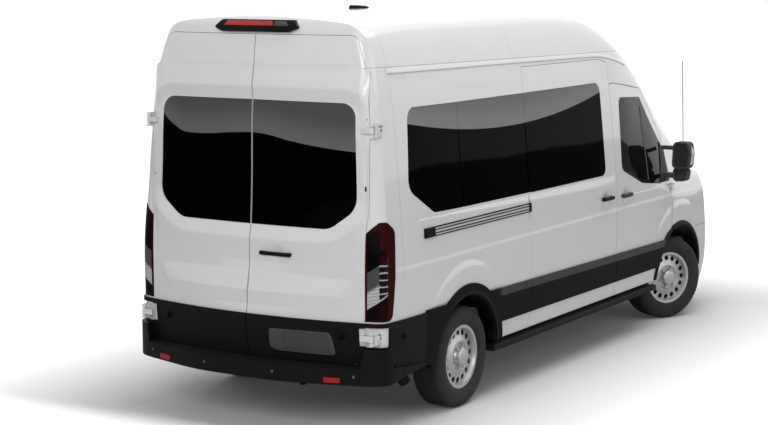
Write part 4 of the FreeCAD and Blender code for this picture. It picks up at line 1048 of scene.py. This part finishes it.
def buildStopLamp():
    makePiece("stopLens", [cornered(stopLook["lens"], 0.004, onTail, 0.0290, 0.024, 0.04, 160)],
              reflectorRed)
    makePiece("stopPanel", [cornered(stopLook["panel"], 0.004, onTail, 0.0280, 0.024, 0.04,
                                     120)], recessGrey)


def buildTreads():
    # ribs across the bumper's tread and along the side step
    y = np.linspace(-0.80, 0.80, 90)
    ribs = []
    for k in range(7):
        path = np.stack([bumperFace(y) + 0.030 + 0.014 * k, y, np.full_like(y, 0.4755)], -1)
        ribs.append(sweepPart(path, oval(0.007, 0.005)))
    makePiece("bumperTread", ribs, softBlack)
    x = np.linspace(-1.33, 1.46, 60)
    lines = []
    for k in range(4):
        path = np.stack([x, np.full_like(x, -1.024 + 0.020 * k), np.full_like(x, 0.3725)], -1)
        lines.append(sweepPart(path, oval(0.008, 0.005)))
    makePiece("sideStepTread", lines, softBlack)


buildRail()
buildStopLamp()
buildTreads()
print("trim made")

seatLook = {"rows": (-2.25, -1.40, -0.55, 0.25), "floor": 0.700, "count": 29,
            "last": (-0.6, -0.2, 0.2, 0.6), "others": (-0.55, -0.12, 0.55),
            "front": (1.15, 0.46, 0.5)}


def padPart(size, crown, grooves, place, pull=0.05):
    # stuffed pad: height falls to a rounded edge, swells in the middle, dips at sewn channels
    q = np.linspace(-1, 1, seatLook["count"])
    q = np.sign(q) * (1 - (1 - np.abs(q)) ** 1.7)
    s, v = np.meshgrid(q, q, indexing="ij")
    x = size[0] / 2 * s * (1 - pull * (1 - v ** 2) - 0.035 * v ** 6)
    y = size[1] / 2 * v * (1 - pull * (1 - s ** 2) - 0.035 * s ** 6)
    edge = np.clip((1 - np.abs(s) ** 7) * (1 - np.abs(v) ** 7), 0, 1)
    swell = crown * (1 - s ** 2) * (1 - v ** 2)
    dip = 0 * s
    for kind, at, deep in grooves:
        line = (x if kind == "x" else y) - at
        dip = np.maximum(dip, deep * np.exp(-(line / 0.006) ** 2) * (edge > 0.05))
        swell = swell + deep * 0.5 * (1 - np.exp(-(line / 0.03) ** 2)) * edge
    top = (size[2] / 2 - crown * 0.8) * edge ** 0.22 + swell - dip
    low = -size[2] / 2 * edge ** 0.12
    (a, quads), (b, _) = [gridPart(place(np.stack([x, y, z], -1))) for z in (top, low)]
    return np.concatenate([a, b]), np.concatenate([quads, quads[:, ::-1] + len(a)])


def leanPlace(foot, lean):
    # local (across, up, out) of a backrest to the frame: leaned back about its foot
    up = np.array([-math.sin(lean), 0, math.cos(lean)])
    out = np.array([math.cos(lean), 0, math.sin(lean)])

    def place(p):
        return np.array(foot) + p[..., :1] * [0, 1, 0] + p[..., 1:2] * up + p[..., 2:] * out
    return place


def seatPads(x, y, width):
    # cushion, backrest and head pad in the room of the plain solids
    base = np.array([x, y, seatLook["floor"] + 0.364])
    seam = width * 0.27
    cushion = padPart((0.455, width - 0.01, 0.108), 0.020,
                      [("x", 0.03, 0.006), ("y", seam, 0.007), ("y", -seam, 0.007)],
                      lambda p: p + base)
    back = padPart((width - 0.01, 0.525, 0.098), 0.016,
                   [("x", seam, 0.007), ("x", -seam, 0.007), ("y", 0.10, 0.006),
                    ("y", -0.10, 0.006)],
                   leanPlace((x - 0.298, y, 1.375), math.atan2(100, 530)))
    head = padPart((width - 0.225, 0.170, 0.085), 0.012, [("y", -0.02, 0.004)],
                   leanPlace((x - 0.381, y, 1.742), 0.05))
    return [cushion, back, head]


def tubePart(line, radius):
    return sweepPart(np.array(line, float), oval(radius * 2), (0.3, 0.4, 1))


def seatFrame(x, y, width, single):
    # posts of the head pad, legs on floor rails, side hinge covers and the belt buckle
    f, w = seatLook["floor"], width / 2
    posts = [tubePart([(x - 0.352, y + s * 0.05, 1.56), (x - 0.378, y + s * 0.05, 1.70)], 0.006)
             for s in (-1, 1)]
    legs = []
    for s in (-1, 1):
        leg = y + s * (w - 0.085)
        legs.append(tubePart([(x - 0.205, leg, f + 0.004), (x - 0.16, leg, f + 0.30),
                              (x + 0.16, leg, f + 0.30), (x + 0.195, leg, f + 0.004)], 0.013))
    plastic = [softBox((x - 0.205, y + s * (w - 0.012), f + 0.375), (0.15, 0.030, 0.13), 0.5, 20)
               for s in (-1, 1)]
    plastic.append(softBox((x - 0.12, y + w - 0.055, f + 0.430), (0.022, 0.030, 0.09), 0.4, 14))
    if single:
        plastic.append(softBox((x, y, f + 0.155), (0.36, width - 0.12, 0.29), 0.2, 24))
    return posts + legs, plastic


def buildSeats():
    rows = [(x, y, 0.425 if i else 0.385) for i, x in enumerate(seatLook["rows"])
            for y in seatLook["others" if i else "last"]]
    x, y, width = seatLook["front"]
    for word, places in (("passenger", rows), ("front", [(x, y, width), (x, -y, width)])):
        pads, metal, plastic = [], [], []
        for place in places:
            pads += seatPads(*place)
            made = seatFrame(*place, word == "front")
            metal += made[0]
            plastic += made[1]
        soft = makePiece(word + "SeatPads", pads, seatCloth, angle=50.0)
        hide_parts(word + "_seats")
        makePiece(word + "SeatFrames", metal, steel, angle=50.0)
        makePiece(word + "SeatCovers", plastic, dashPlastic, angle=50.0)


def buildCabin():
    # floor mat, dashboard hoods, screens and vents, gear lever and pedals
    mat = [flatBox((-2.62, -0.42, 0.6995), (0.60, 0.45, 0.7015))]
    mat += [flatBox((-2.60, y - 0.004, 0.700), (0.55, y + 0.004, 0.7035))
            for y in np.linspace(-0.36, 0.40, 11)]
    makePiece("aisleMat", mat, dashPlastic)
    dark = [flatBox((1.640, 0.27, 1.150), (1.700, 0.65, 1.245), 0.35),
            flatBox((1.650, -0.13, 1.04), (1.672, 0.13, 1.17), 0.2)]
    glass = [flatBox((1.645, -0.115, 1.052), (1.652, 0.115, 1.158), 0.1),
             flatBox((1.634, 0.32, 1.165), (1.642, 0.60, 1.225), 0.3)]
    vents = [flatBox((1.632, y - 0.05, 1.070 + 0.018 * k), (1.642, y + 0.05, 1.078 + 0.018 * k),
                     0.3) for y in (-0.72, -0.19, 0.19, 0.72) for k in range(4)]
    lever = [sweepPart([(1.60, 0.02, 0.86), (1.57, 0.02, 0.93), (1.55, 0.02, 1.0)], oval(0.016),
                       (0, 1, 0)),
             softBox((1.548, 0.02, 1.015), (0.045, 0.045, 0.06), 0.7, 20)]
    feet = (0.36, 0.48, 0.60)
    pedals = [flatBox((1.80, y - 0.03, 0.80), (1.815, y + 0.03, 0.88), 0.3) for y in feet]
    pedals += [sweepPart([(1.812, y, 0.84), (1.87, y, 0.98), (1.93, y, 1.06)], oval(0.012),
                         (0, 1, 0)) for y in feet]
    for name, parts, look in (("dashHoods", dark, dashPlastic),
                              ("dashScreens", glass, screenGlass), ("dashVents", vents, softBlack),
                              ("gearLever", lever, softBlack), ("pedals", pedals, softBlack)):
        makePiece(name, parts, look, angle=50.0)


buildSeats()
buildCabin()
print("seats and cabin made")

frontLook = {"lamp": [(0.452, 1.092), (0.452, 0.930), (0.560, 0.868), (0.850, 0.900),
                      (0.915, 0.965), (0.915, 1.160), (0.890, 1.185)],
             "guide": [(0.475, 1.070), (0.480, 0.945), (0.570, 0.892), (0.830, 0.920),
                       (0.890, 0.985)],
             "bowls": [(0.600, 0.995, 0.052), (0.765, 1.010, 0.056)],
             "bowl": [(0.55, -0.030), (0.80, -0.012), (1, 0), (1.06, 0.002), (1.06, -0.02)],
             "bars": (0.842, 0.893, 0.944, 0.995, 1.046), "slats": (0.462, 0.503, 0.544, 0.585),
             "fog": [(0.690, 0.480), (0.700, 0.575), (0.840, 0.600), (0.850, 0.505)],
             "fogSpot": (0.772, 0.541, 0.034)}


def headlampBowls(noseFace, s):
    # a turned reflector and a bulging lens for each of the two lights
    rings, lenses = [], []
    t = np.linspace(0, math.pi / 2, 7)
    for y, z, r in frontLook["bowls"]:
        edge = circle(s * y, z, r, 16)
        place = (noseFace(edge[:, 0], edge[:, 1], 0.0)[:, 0].min() - 0.048, s * y, z)
        rings.append(turnedPart([(r * share, deep) for share, deep in frontLook["bowl"]], place,
                                (1, 0, 0)))
        lens = np.stack([r * 0.62 * np.cos(t), 0.014 * np.sin(t) - 0.022], -1)
        lenses.append(turnedPart(lens, place, (1, 0, 0)))
    return rings, lenses


def buildLamps(noseFace):
    for s, word in sides:
        outline = roundedOutline(frontLook["lamp"], 0.03, 120) * (s, 1)
        back = outline.mean(0) + (outline - outline.mean(0)) * 0.93
        rim = sweepPart(noseFace(outline[:, 0], outline[:, 1], -0.001), oval(0.010, 0.006),
                        (1, 0, 0), True)
        makePiece("headlampHousing_" + word, [platePart(back, noseFace, -0.085, -0.090, 0.05),
                                              rim], softBlack)
        line = smoothRun(frontLook["guide"], 0.02, 60) * (s, 1)
        tube = sweepPart(noseFace(line[:, 0], line[:, 1], -0.050), oval(0.014), (1, 0, 0))
        makePiece("lightGuide_" + word, [tube], lampTube)
        rings, lenses = headlampBowls(noseFace, s)
        makePiece("headlampBowls_" + word, rings, rimSilver)
        makePiece("headlampLenses_" + word, lenses, screenGlass)
        makePiece("fogRecess_" + word, [cornered(frontLook["fog"], 0.03, noseFace, 0.0015, -0.012,
                                                 0.05, turn=s)], softBlack)
        y, z, r = frontLook["fogSpot"]
        makePiece("fogLamp_" + word, [platePart(circle(s * y, z, r), noseFace, 0.004, -0.004,
                                                0.25, 0.004)], lampTube)


def buildGrille(noseFace):
    # bars across and fine uprights in the grille, slats in the intake, a lip under the bumper
    y = np.linspace(-0.425, 0.425, 50)
    bars = [sweepPart(noseFace(y, z, 0.001), oval(0.024, 0.015)) for z in frontLook["bars"]]
    z = np.linspace(0.815, 1.080, 12)
    bars += [sweepPart(noseFace(v, z, -0.001), oval(0.005, count=8), (1, 0, 0))
             for v in np.linspace(-0.405, 0.405, 37)]
    makePiece("grilleBars", bars, sensorGrey)
    slats = [sweepPart(noseFace(np.linspace(-1, 1, 50) * (0.595 - 0.33 * (z - 0.43)), z, 0.004),
                       oval(0.012, 0.014)) for z in frontLook["slats"]]
    makePiece("intakeSlats", slats, blackPlastic)
    lip = skinPart(noseFace, np.linspace(-0.90, 0.90, 60), np.linspace(0.262, 0.340, 6),
                   lambda a, b: 0.0015 + 0 * a)
    makePiece("frontValance", lip, blackPlastic)


screenLook = {"outline": [(-0.800, 1.430), (0.800, 1.430), (0.732, 2.072), (-0.732, 2.072)],
              "border": [(-0.045, 0.0012), (0.0, 0.0012)],
              "wipers": [[(0.640, 1.425), (0.400, 1.470), (0.050, 1.462), (0.700, 1.476)],
                         [(-0.080, 1.425), (-0.320, 1.468), (-0.690, 1.462), (-0.020, 1.476)]],
              "boss": [(0.0, 0.022), (0.016, 0.020), (0.019, 0.0), (0.019, -0.03)]}


def buildScreen():
    # black border of the windscreen; each wiper is a blade, an arm and a boss at its foot
    glass = onCad(["windscreen"], 0)
    border = ringPart(roundedOutline(screenLook["outline"], 0.05, 160), glass,
                      screenLook["border"])
    makePiece("windscreenBorder", [border], softBlack)
    arms = []
    for foot, tip, start, end in screenLook["wipers"]:
        for a, b, lift, section in ((start, end, 0.020, oval(0.012, 0.020)),
                                    (foot, tip, 0.042, oval(0.016, 0.012))):
            arms.append(sweepPart(glass(*np.linspace(a, b, 30).T, lift), section))
        spot = glass(np.array([foot[0]]), np.array([foot[1]]), 0.03)[0]
        arms.append(turnedPart(screenLook["boss"], spot, (0.5, 0, 1)))
    makePiece("wipers", arms, softBlack)


mirrorLook = {"high": [(1.094, 1.366), (1.206, 1.366), (1.216, 1.470), (1.204, 1.552),
                       (1.100, 1.552)],
              "low": [(1.099, 1.254), (1.181, 1.260), (1.196, 1.334), (1.096, 1.334)],
              "signal": [(1.715, 1.375), (1.772, 1.375), (1.776, 1.500), (1.740, 1.545)]}


def buildMirrors():
    # a tall glass over a small round one, and a clear signal lens on the outer side
    for s, word in sides:
        made = []
        for kind, x in (("high", 1.6985), ("low", 1.7085)):
            line = roundedOutline([(s * y, z) for y, z in mirrorLook[kind]], 0.02)
            made.append(platePart(line, lambda a, b, lift: np.stack([x - lift, a + 0 * lift,
                                                                     b + 0 * lift], -1),
                                  0.0015, -0.001, 0.05))
        makePiece("mirrorGlass_" + word, made, mirrorGlass, "front_door_" + word)
        lens = onCad(["front_door_trim_" + word], 1, s)
        makePiece("mirrorSignal_" + word, [cornered(mirrorLook["signal"], 0.01, lens, 0.0015,
                                                    -0.003, 0.1)],
                  signalLens, "front_door_" + word)


noseFace = onCad(["headlamps", "grille", "front_bumper", "fenders"], 0)
buildLamps(noseFace)
buildGrille(noseFace)
buildScreen()
buildMirrors()
print("front made")

sideLook = {"paneGaps": {"right": [(-0.7775, -0.7675), (-0.7660, -0.7610), (-1.7630, -1.7550)],
                         "left": [(-0.7780, -0.7690), (-1.7630, -1.7550)]},
            "hinges": [(-2.795, 0.676), (-2.735, 2.015)]}


def upperBand(x, z):
    # a lift of about 1 mm that sinks into the skin along all four edges
    inside = np.minimum(ease(-2.40, -2.34, x) * ease(-0.806, -0.815, x),
                        ease(2.20, 2.225, z) * ease(2.360, 2.356, z))
    return -0.001 + 0.0022 * inside


def buildSideDetails():
    # smooth skin under the gutter, dark edges of the panes, the bar in the front door glass
    skin = skinPart(onSide(-1), np.linspace(-2.40, -0.806, 40), np.linspace(2.20, 2.360, 12),
                    upperBand, 0.003)
    makePiece("bodySide_rightUpper", skin, paint)
    for s, word in sides:
        strips = [cornered(oblong(a, b, 1.404 if a > -1.0 else 1.414, 2.131), 0.0, onSide(s),
                           0.0012, -0.002, 0.02, 200) for a, b in sideLook["paneGaps"][word]]
        makePiece("paneEdges_" + word, strips, darkGlass)
    z = np.linspace(1.275, 1.885, 24)
    for s, word in sides:
        face = onCad(["front_door_glass_" + word], 1, s)
        bar = sweepPart(face(1.385 - 0.012 * (z - 1.3), z, 0.0015), oval(0.012, 0.006),
                        (0, 1, 0))
        makePiece("doorGlassBar_" + word, [bar], sensorGrey, "front_door_" + word)


def buildHinges():
    # a six sided pad, two screws, a bore and a slot on each hinge plate; the bore and slot are
    # dark grey plates, painted shade of the holes
    for s, word in sides:
        face = onCad(["rear_door_hinges"], 1, s)
        pads, holes = [], []
        for x, z in sideLook["hinges"]:
            pads.append(platePart(circle(x, z, 0.026, 6), face, 0.005, -0.004, 0.25))
            pads += [platePart(circle(x, z + d, 0.008, 20), face, 0.004, -0.004, 0.4)
                     for d in (0.033, -0.033)]
            slot = np.array(oblong(x - 0.020, x + 0.020, z + 0.024, z + 0.019))
            # painted shade: the bore and slot are drawn as raised dark grey plates
            holes += [platePart(circle(x, z, 0.009, 20), face, 0.0062, 0.003, 0.3),
                      platePart(slot, face, 0.0062, 0.003, 0.1)]
        makePiece("hingePads_" + word, pads, paint)
        makePiece("hingeHoleShade_" + word, holes, recessGrey)


tailLook = {"pipeFrom": (-2.335, -0.765, 0.399), "pipeTo": (-2.392, -0.905, 0.300),
            "bore": [(0.0, 0.0015), (0.034, 0.0015), (0.041, -0.004)]}


def buildTailPieces():
    # a sleeve on the exhaust's end and a towing eye under the bumper
    first, last = np.array(tailLook["pipeFrom"]), np.array(tailLook["pipeTo"])
    sleeve = sweepPart(np.linspace(first, last, 8), oval(0.082, count=24), (1, 0, 0))
    bore = turnedPart(tailLook["bore"], last, last - first)
    makePiece("tailPipe", [sleeve], chassisBlack)
    makePiece("tailPipeBore", [bore], softBlack)
    t = np.linspace(-0.6, math.pi + 0.6, 22)
    ring = np.stack([-2.80 - 0.030 * np.sin(t), -0.375 + 0.028 * np.cos(t),
                     0.322 - 0.012 * np.sin(t)], -1)
    makePiece("towingEye", [sweepPart(ring, oval(0.013)),
                            flatBox((-2.79, -0.405, 0.316), (-2.70, -0.345, 0.340), 0.3)],
              chassisBlack)


buildSideDetails()
buildHinges()
buildTailPieces()
print("side and hinge details made")

# Each plate of a door lining: its corners, rounding, height, depth and edge.
liningLook = {
    "rear": [([(0.080, 1.290), (0.080, 0.760), (0.740, 0.760), (0.740, 1.400), (0.600, 1.290)],
              0.05, 0.007, -0.002, 0.04), (oblong(0.12, 0.32, 0.95, 1.03), 0.03, 0.014, 0.0, 0.2)],
    "front": [([(0.830, 1.190), (0.830, 0.640), (1.480, 0.640), (1.600, 0.880), (1.720, 0.960),
                (1.720, 1.150)], 0.06, 0.008, -0.002, 0.04),
              ([(0.90, 1.02), (0.90, 0.96), (1.50, 0.97), (1.50, 1.03)], 0.03, 0.045, 0.0, 0.3),
              ([(0.88, 0.80), (0.88, 0.67), (1.44, 0.67), (1.50, 0.80)], 0.03, 0.030, 0.0, 0.15)],
    "slide": [(oblong(-0.660, 0.560, 0.800, 1.330), 0.06, 0.007, -0.002, 0.03)]}


def buildDoorLinings():
    # moulded panels on the inner faces, with an armrest and a pocket in the front doors
    for s, word in sides:
        for end, axis, sign, turn in (("rear", 0, 1, s), ("front", 1, -s, 1)):
            door = f"{end}_door_{word}"
            inner = onCad([door], axis, sign)
            plates = [cornered(line, rounding, inner, *rest, turn=turn)
                      for line, rounding, *rest in liningLook[end]]
            makePiece(f"{end}Lining_{word}", plates, liningGrey, door)
    slide = onCad(["sliding_door"], 1)
    makePiece("slidingDoorLining", [cornered(line, rounding, slide, *rest)
                                    for line, rounding, *rest in liningLook["slide"]], liningGrey)


beadLook = {"rear": [(0.437, -0.055), (0.437, 0.003), (0.441, 0.011), (0.450, 0.015),
                     (0.466, 0.014), (0.477, 0.010), (0.481, -0.004)],
            "front": [(0.453, -0.022), (0.453, 0.003), (0.457, 0.011), (0.466, 0.015),
                      (0.482, 0.014), (0.494, 0.010), (0.498, -0.004)],
            "vents": {"count": 16, "ring": 0.169, "radius": 0.0215},
            "capLow": (-1.312, 0.922, 0.396), "capHigh": (-1.284, 1.004, 0.466)}


def beadPart(end, side, angles):
    # rounded lip round an arch, turned inwards along its free edge
    prof = np.array(beadLook[end])
    t = np.radians(np.linspace(*angles, 80))[:, None]
    x = ends[end]["axle"] + prof[None, :, 0] * np.cos(t)
    z = wheelRadius + prof[None, :, 0] * np.sin(t)
    return gridPart(onSide(side)(x, z, np.broadcast_to(prof[None, :, 1], x.shape)), wrapV=True)


def buildArchBeads():
    for side, word in sides:
        low, high = [np.array(beadLook[k]) * (1, side, 1) for k in ("capLow", "capHigh")]
        cap = flatBox(low, high, 0.12)
        for name, parts, body in (
                ("rearArchBead_", [beadPart("rear", side, (2, 178)), cap], "shell"),
                ("frontArchBead_", [beadPart("front", side, (8, 108))], "shell"),
                ("doorArchBead_", [beadPart("front", side, (113.5, 172))],
                 "front_door_" + word)):
            makePiece(name + word, parts, blackPlastic, body, angle=50.0)


def buildVentShadeDiscs():
    # black discs over the sixteen vents of each rim, laid on its coned face: painted shade that
    # makes the vents read dark and wider
    for end in ends:
        for side, word in sides:
            def face(a, b, lift):
                rad = np.hypot(a, b)
                return placeWheel(rad, 0.0680 - 0.15 * (rad - 0.150) + lift, np.arctan2(a, b),
                                  end, side)
            count, r, radius = beadLook["vents"].values()
            # painted shade: a black disc a little wider than each vent
            parts = [platePart(circle(r * math.sin(a), r * math.cos(a), radius, 24), face,
                               0.0008, -0.002, 0.1, 0.002, 3) for a in fullTurn(count)]
            makePiece(f"ventShadeDiscs_{end}_{word}", parts, softBlack, f"wheel_{end}_{word}")


buildDoorLinings()
buildArchBeads()
buildVentShadeDiscs()
print("linings, arch beads and vents made")
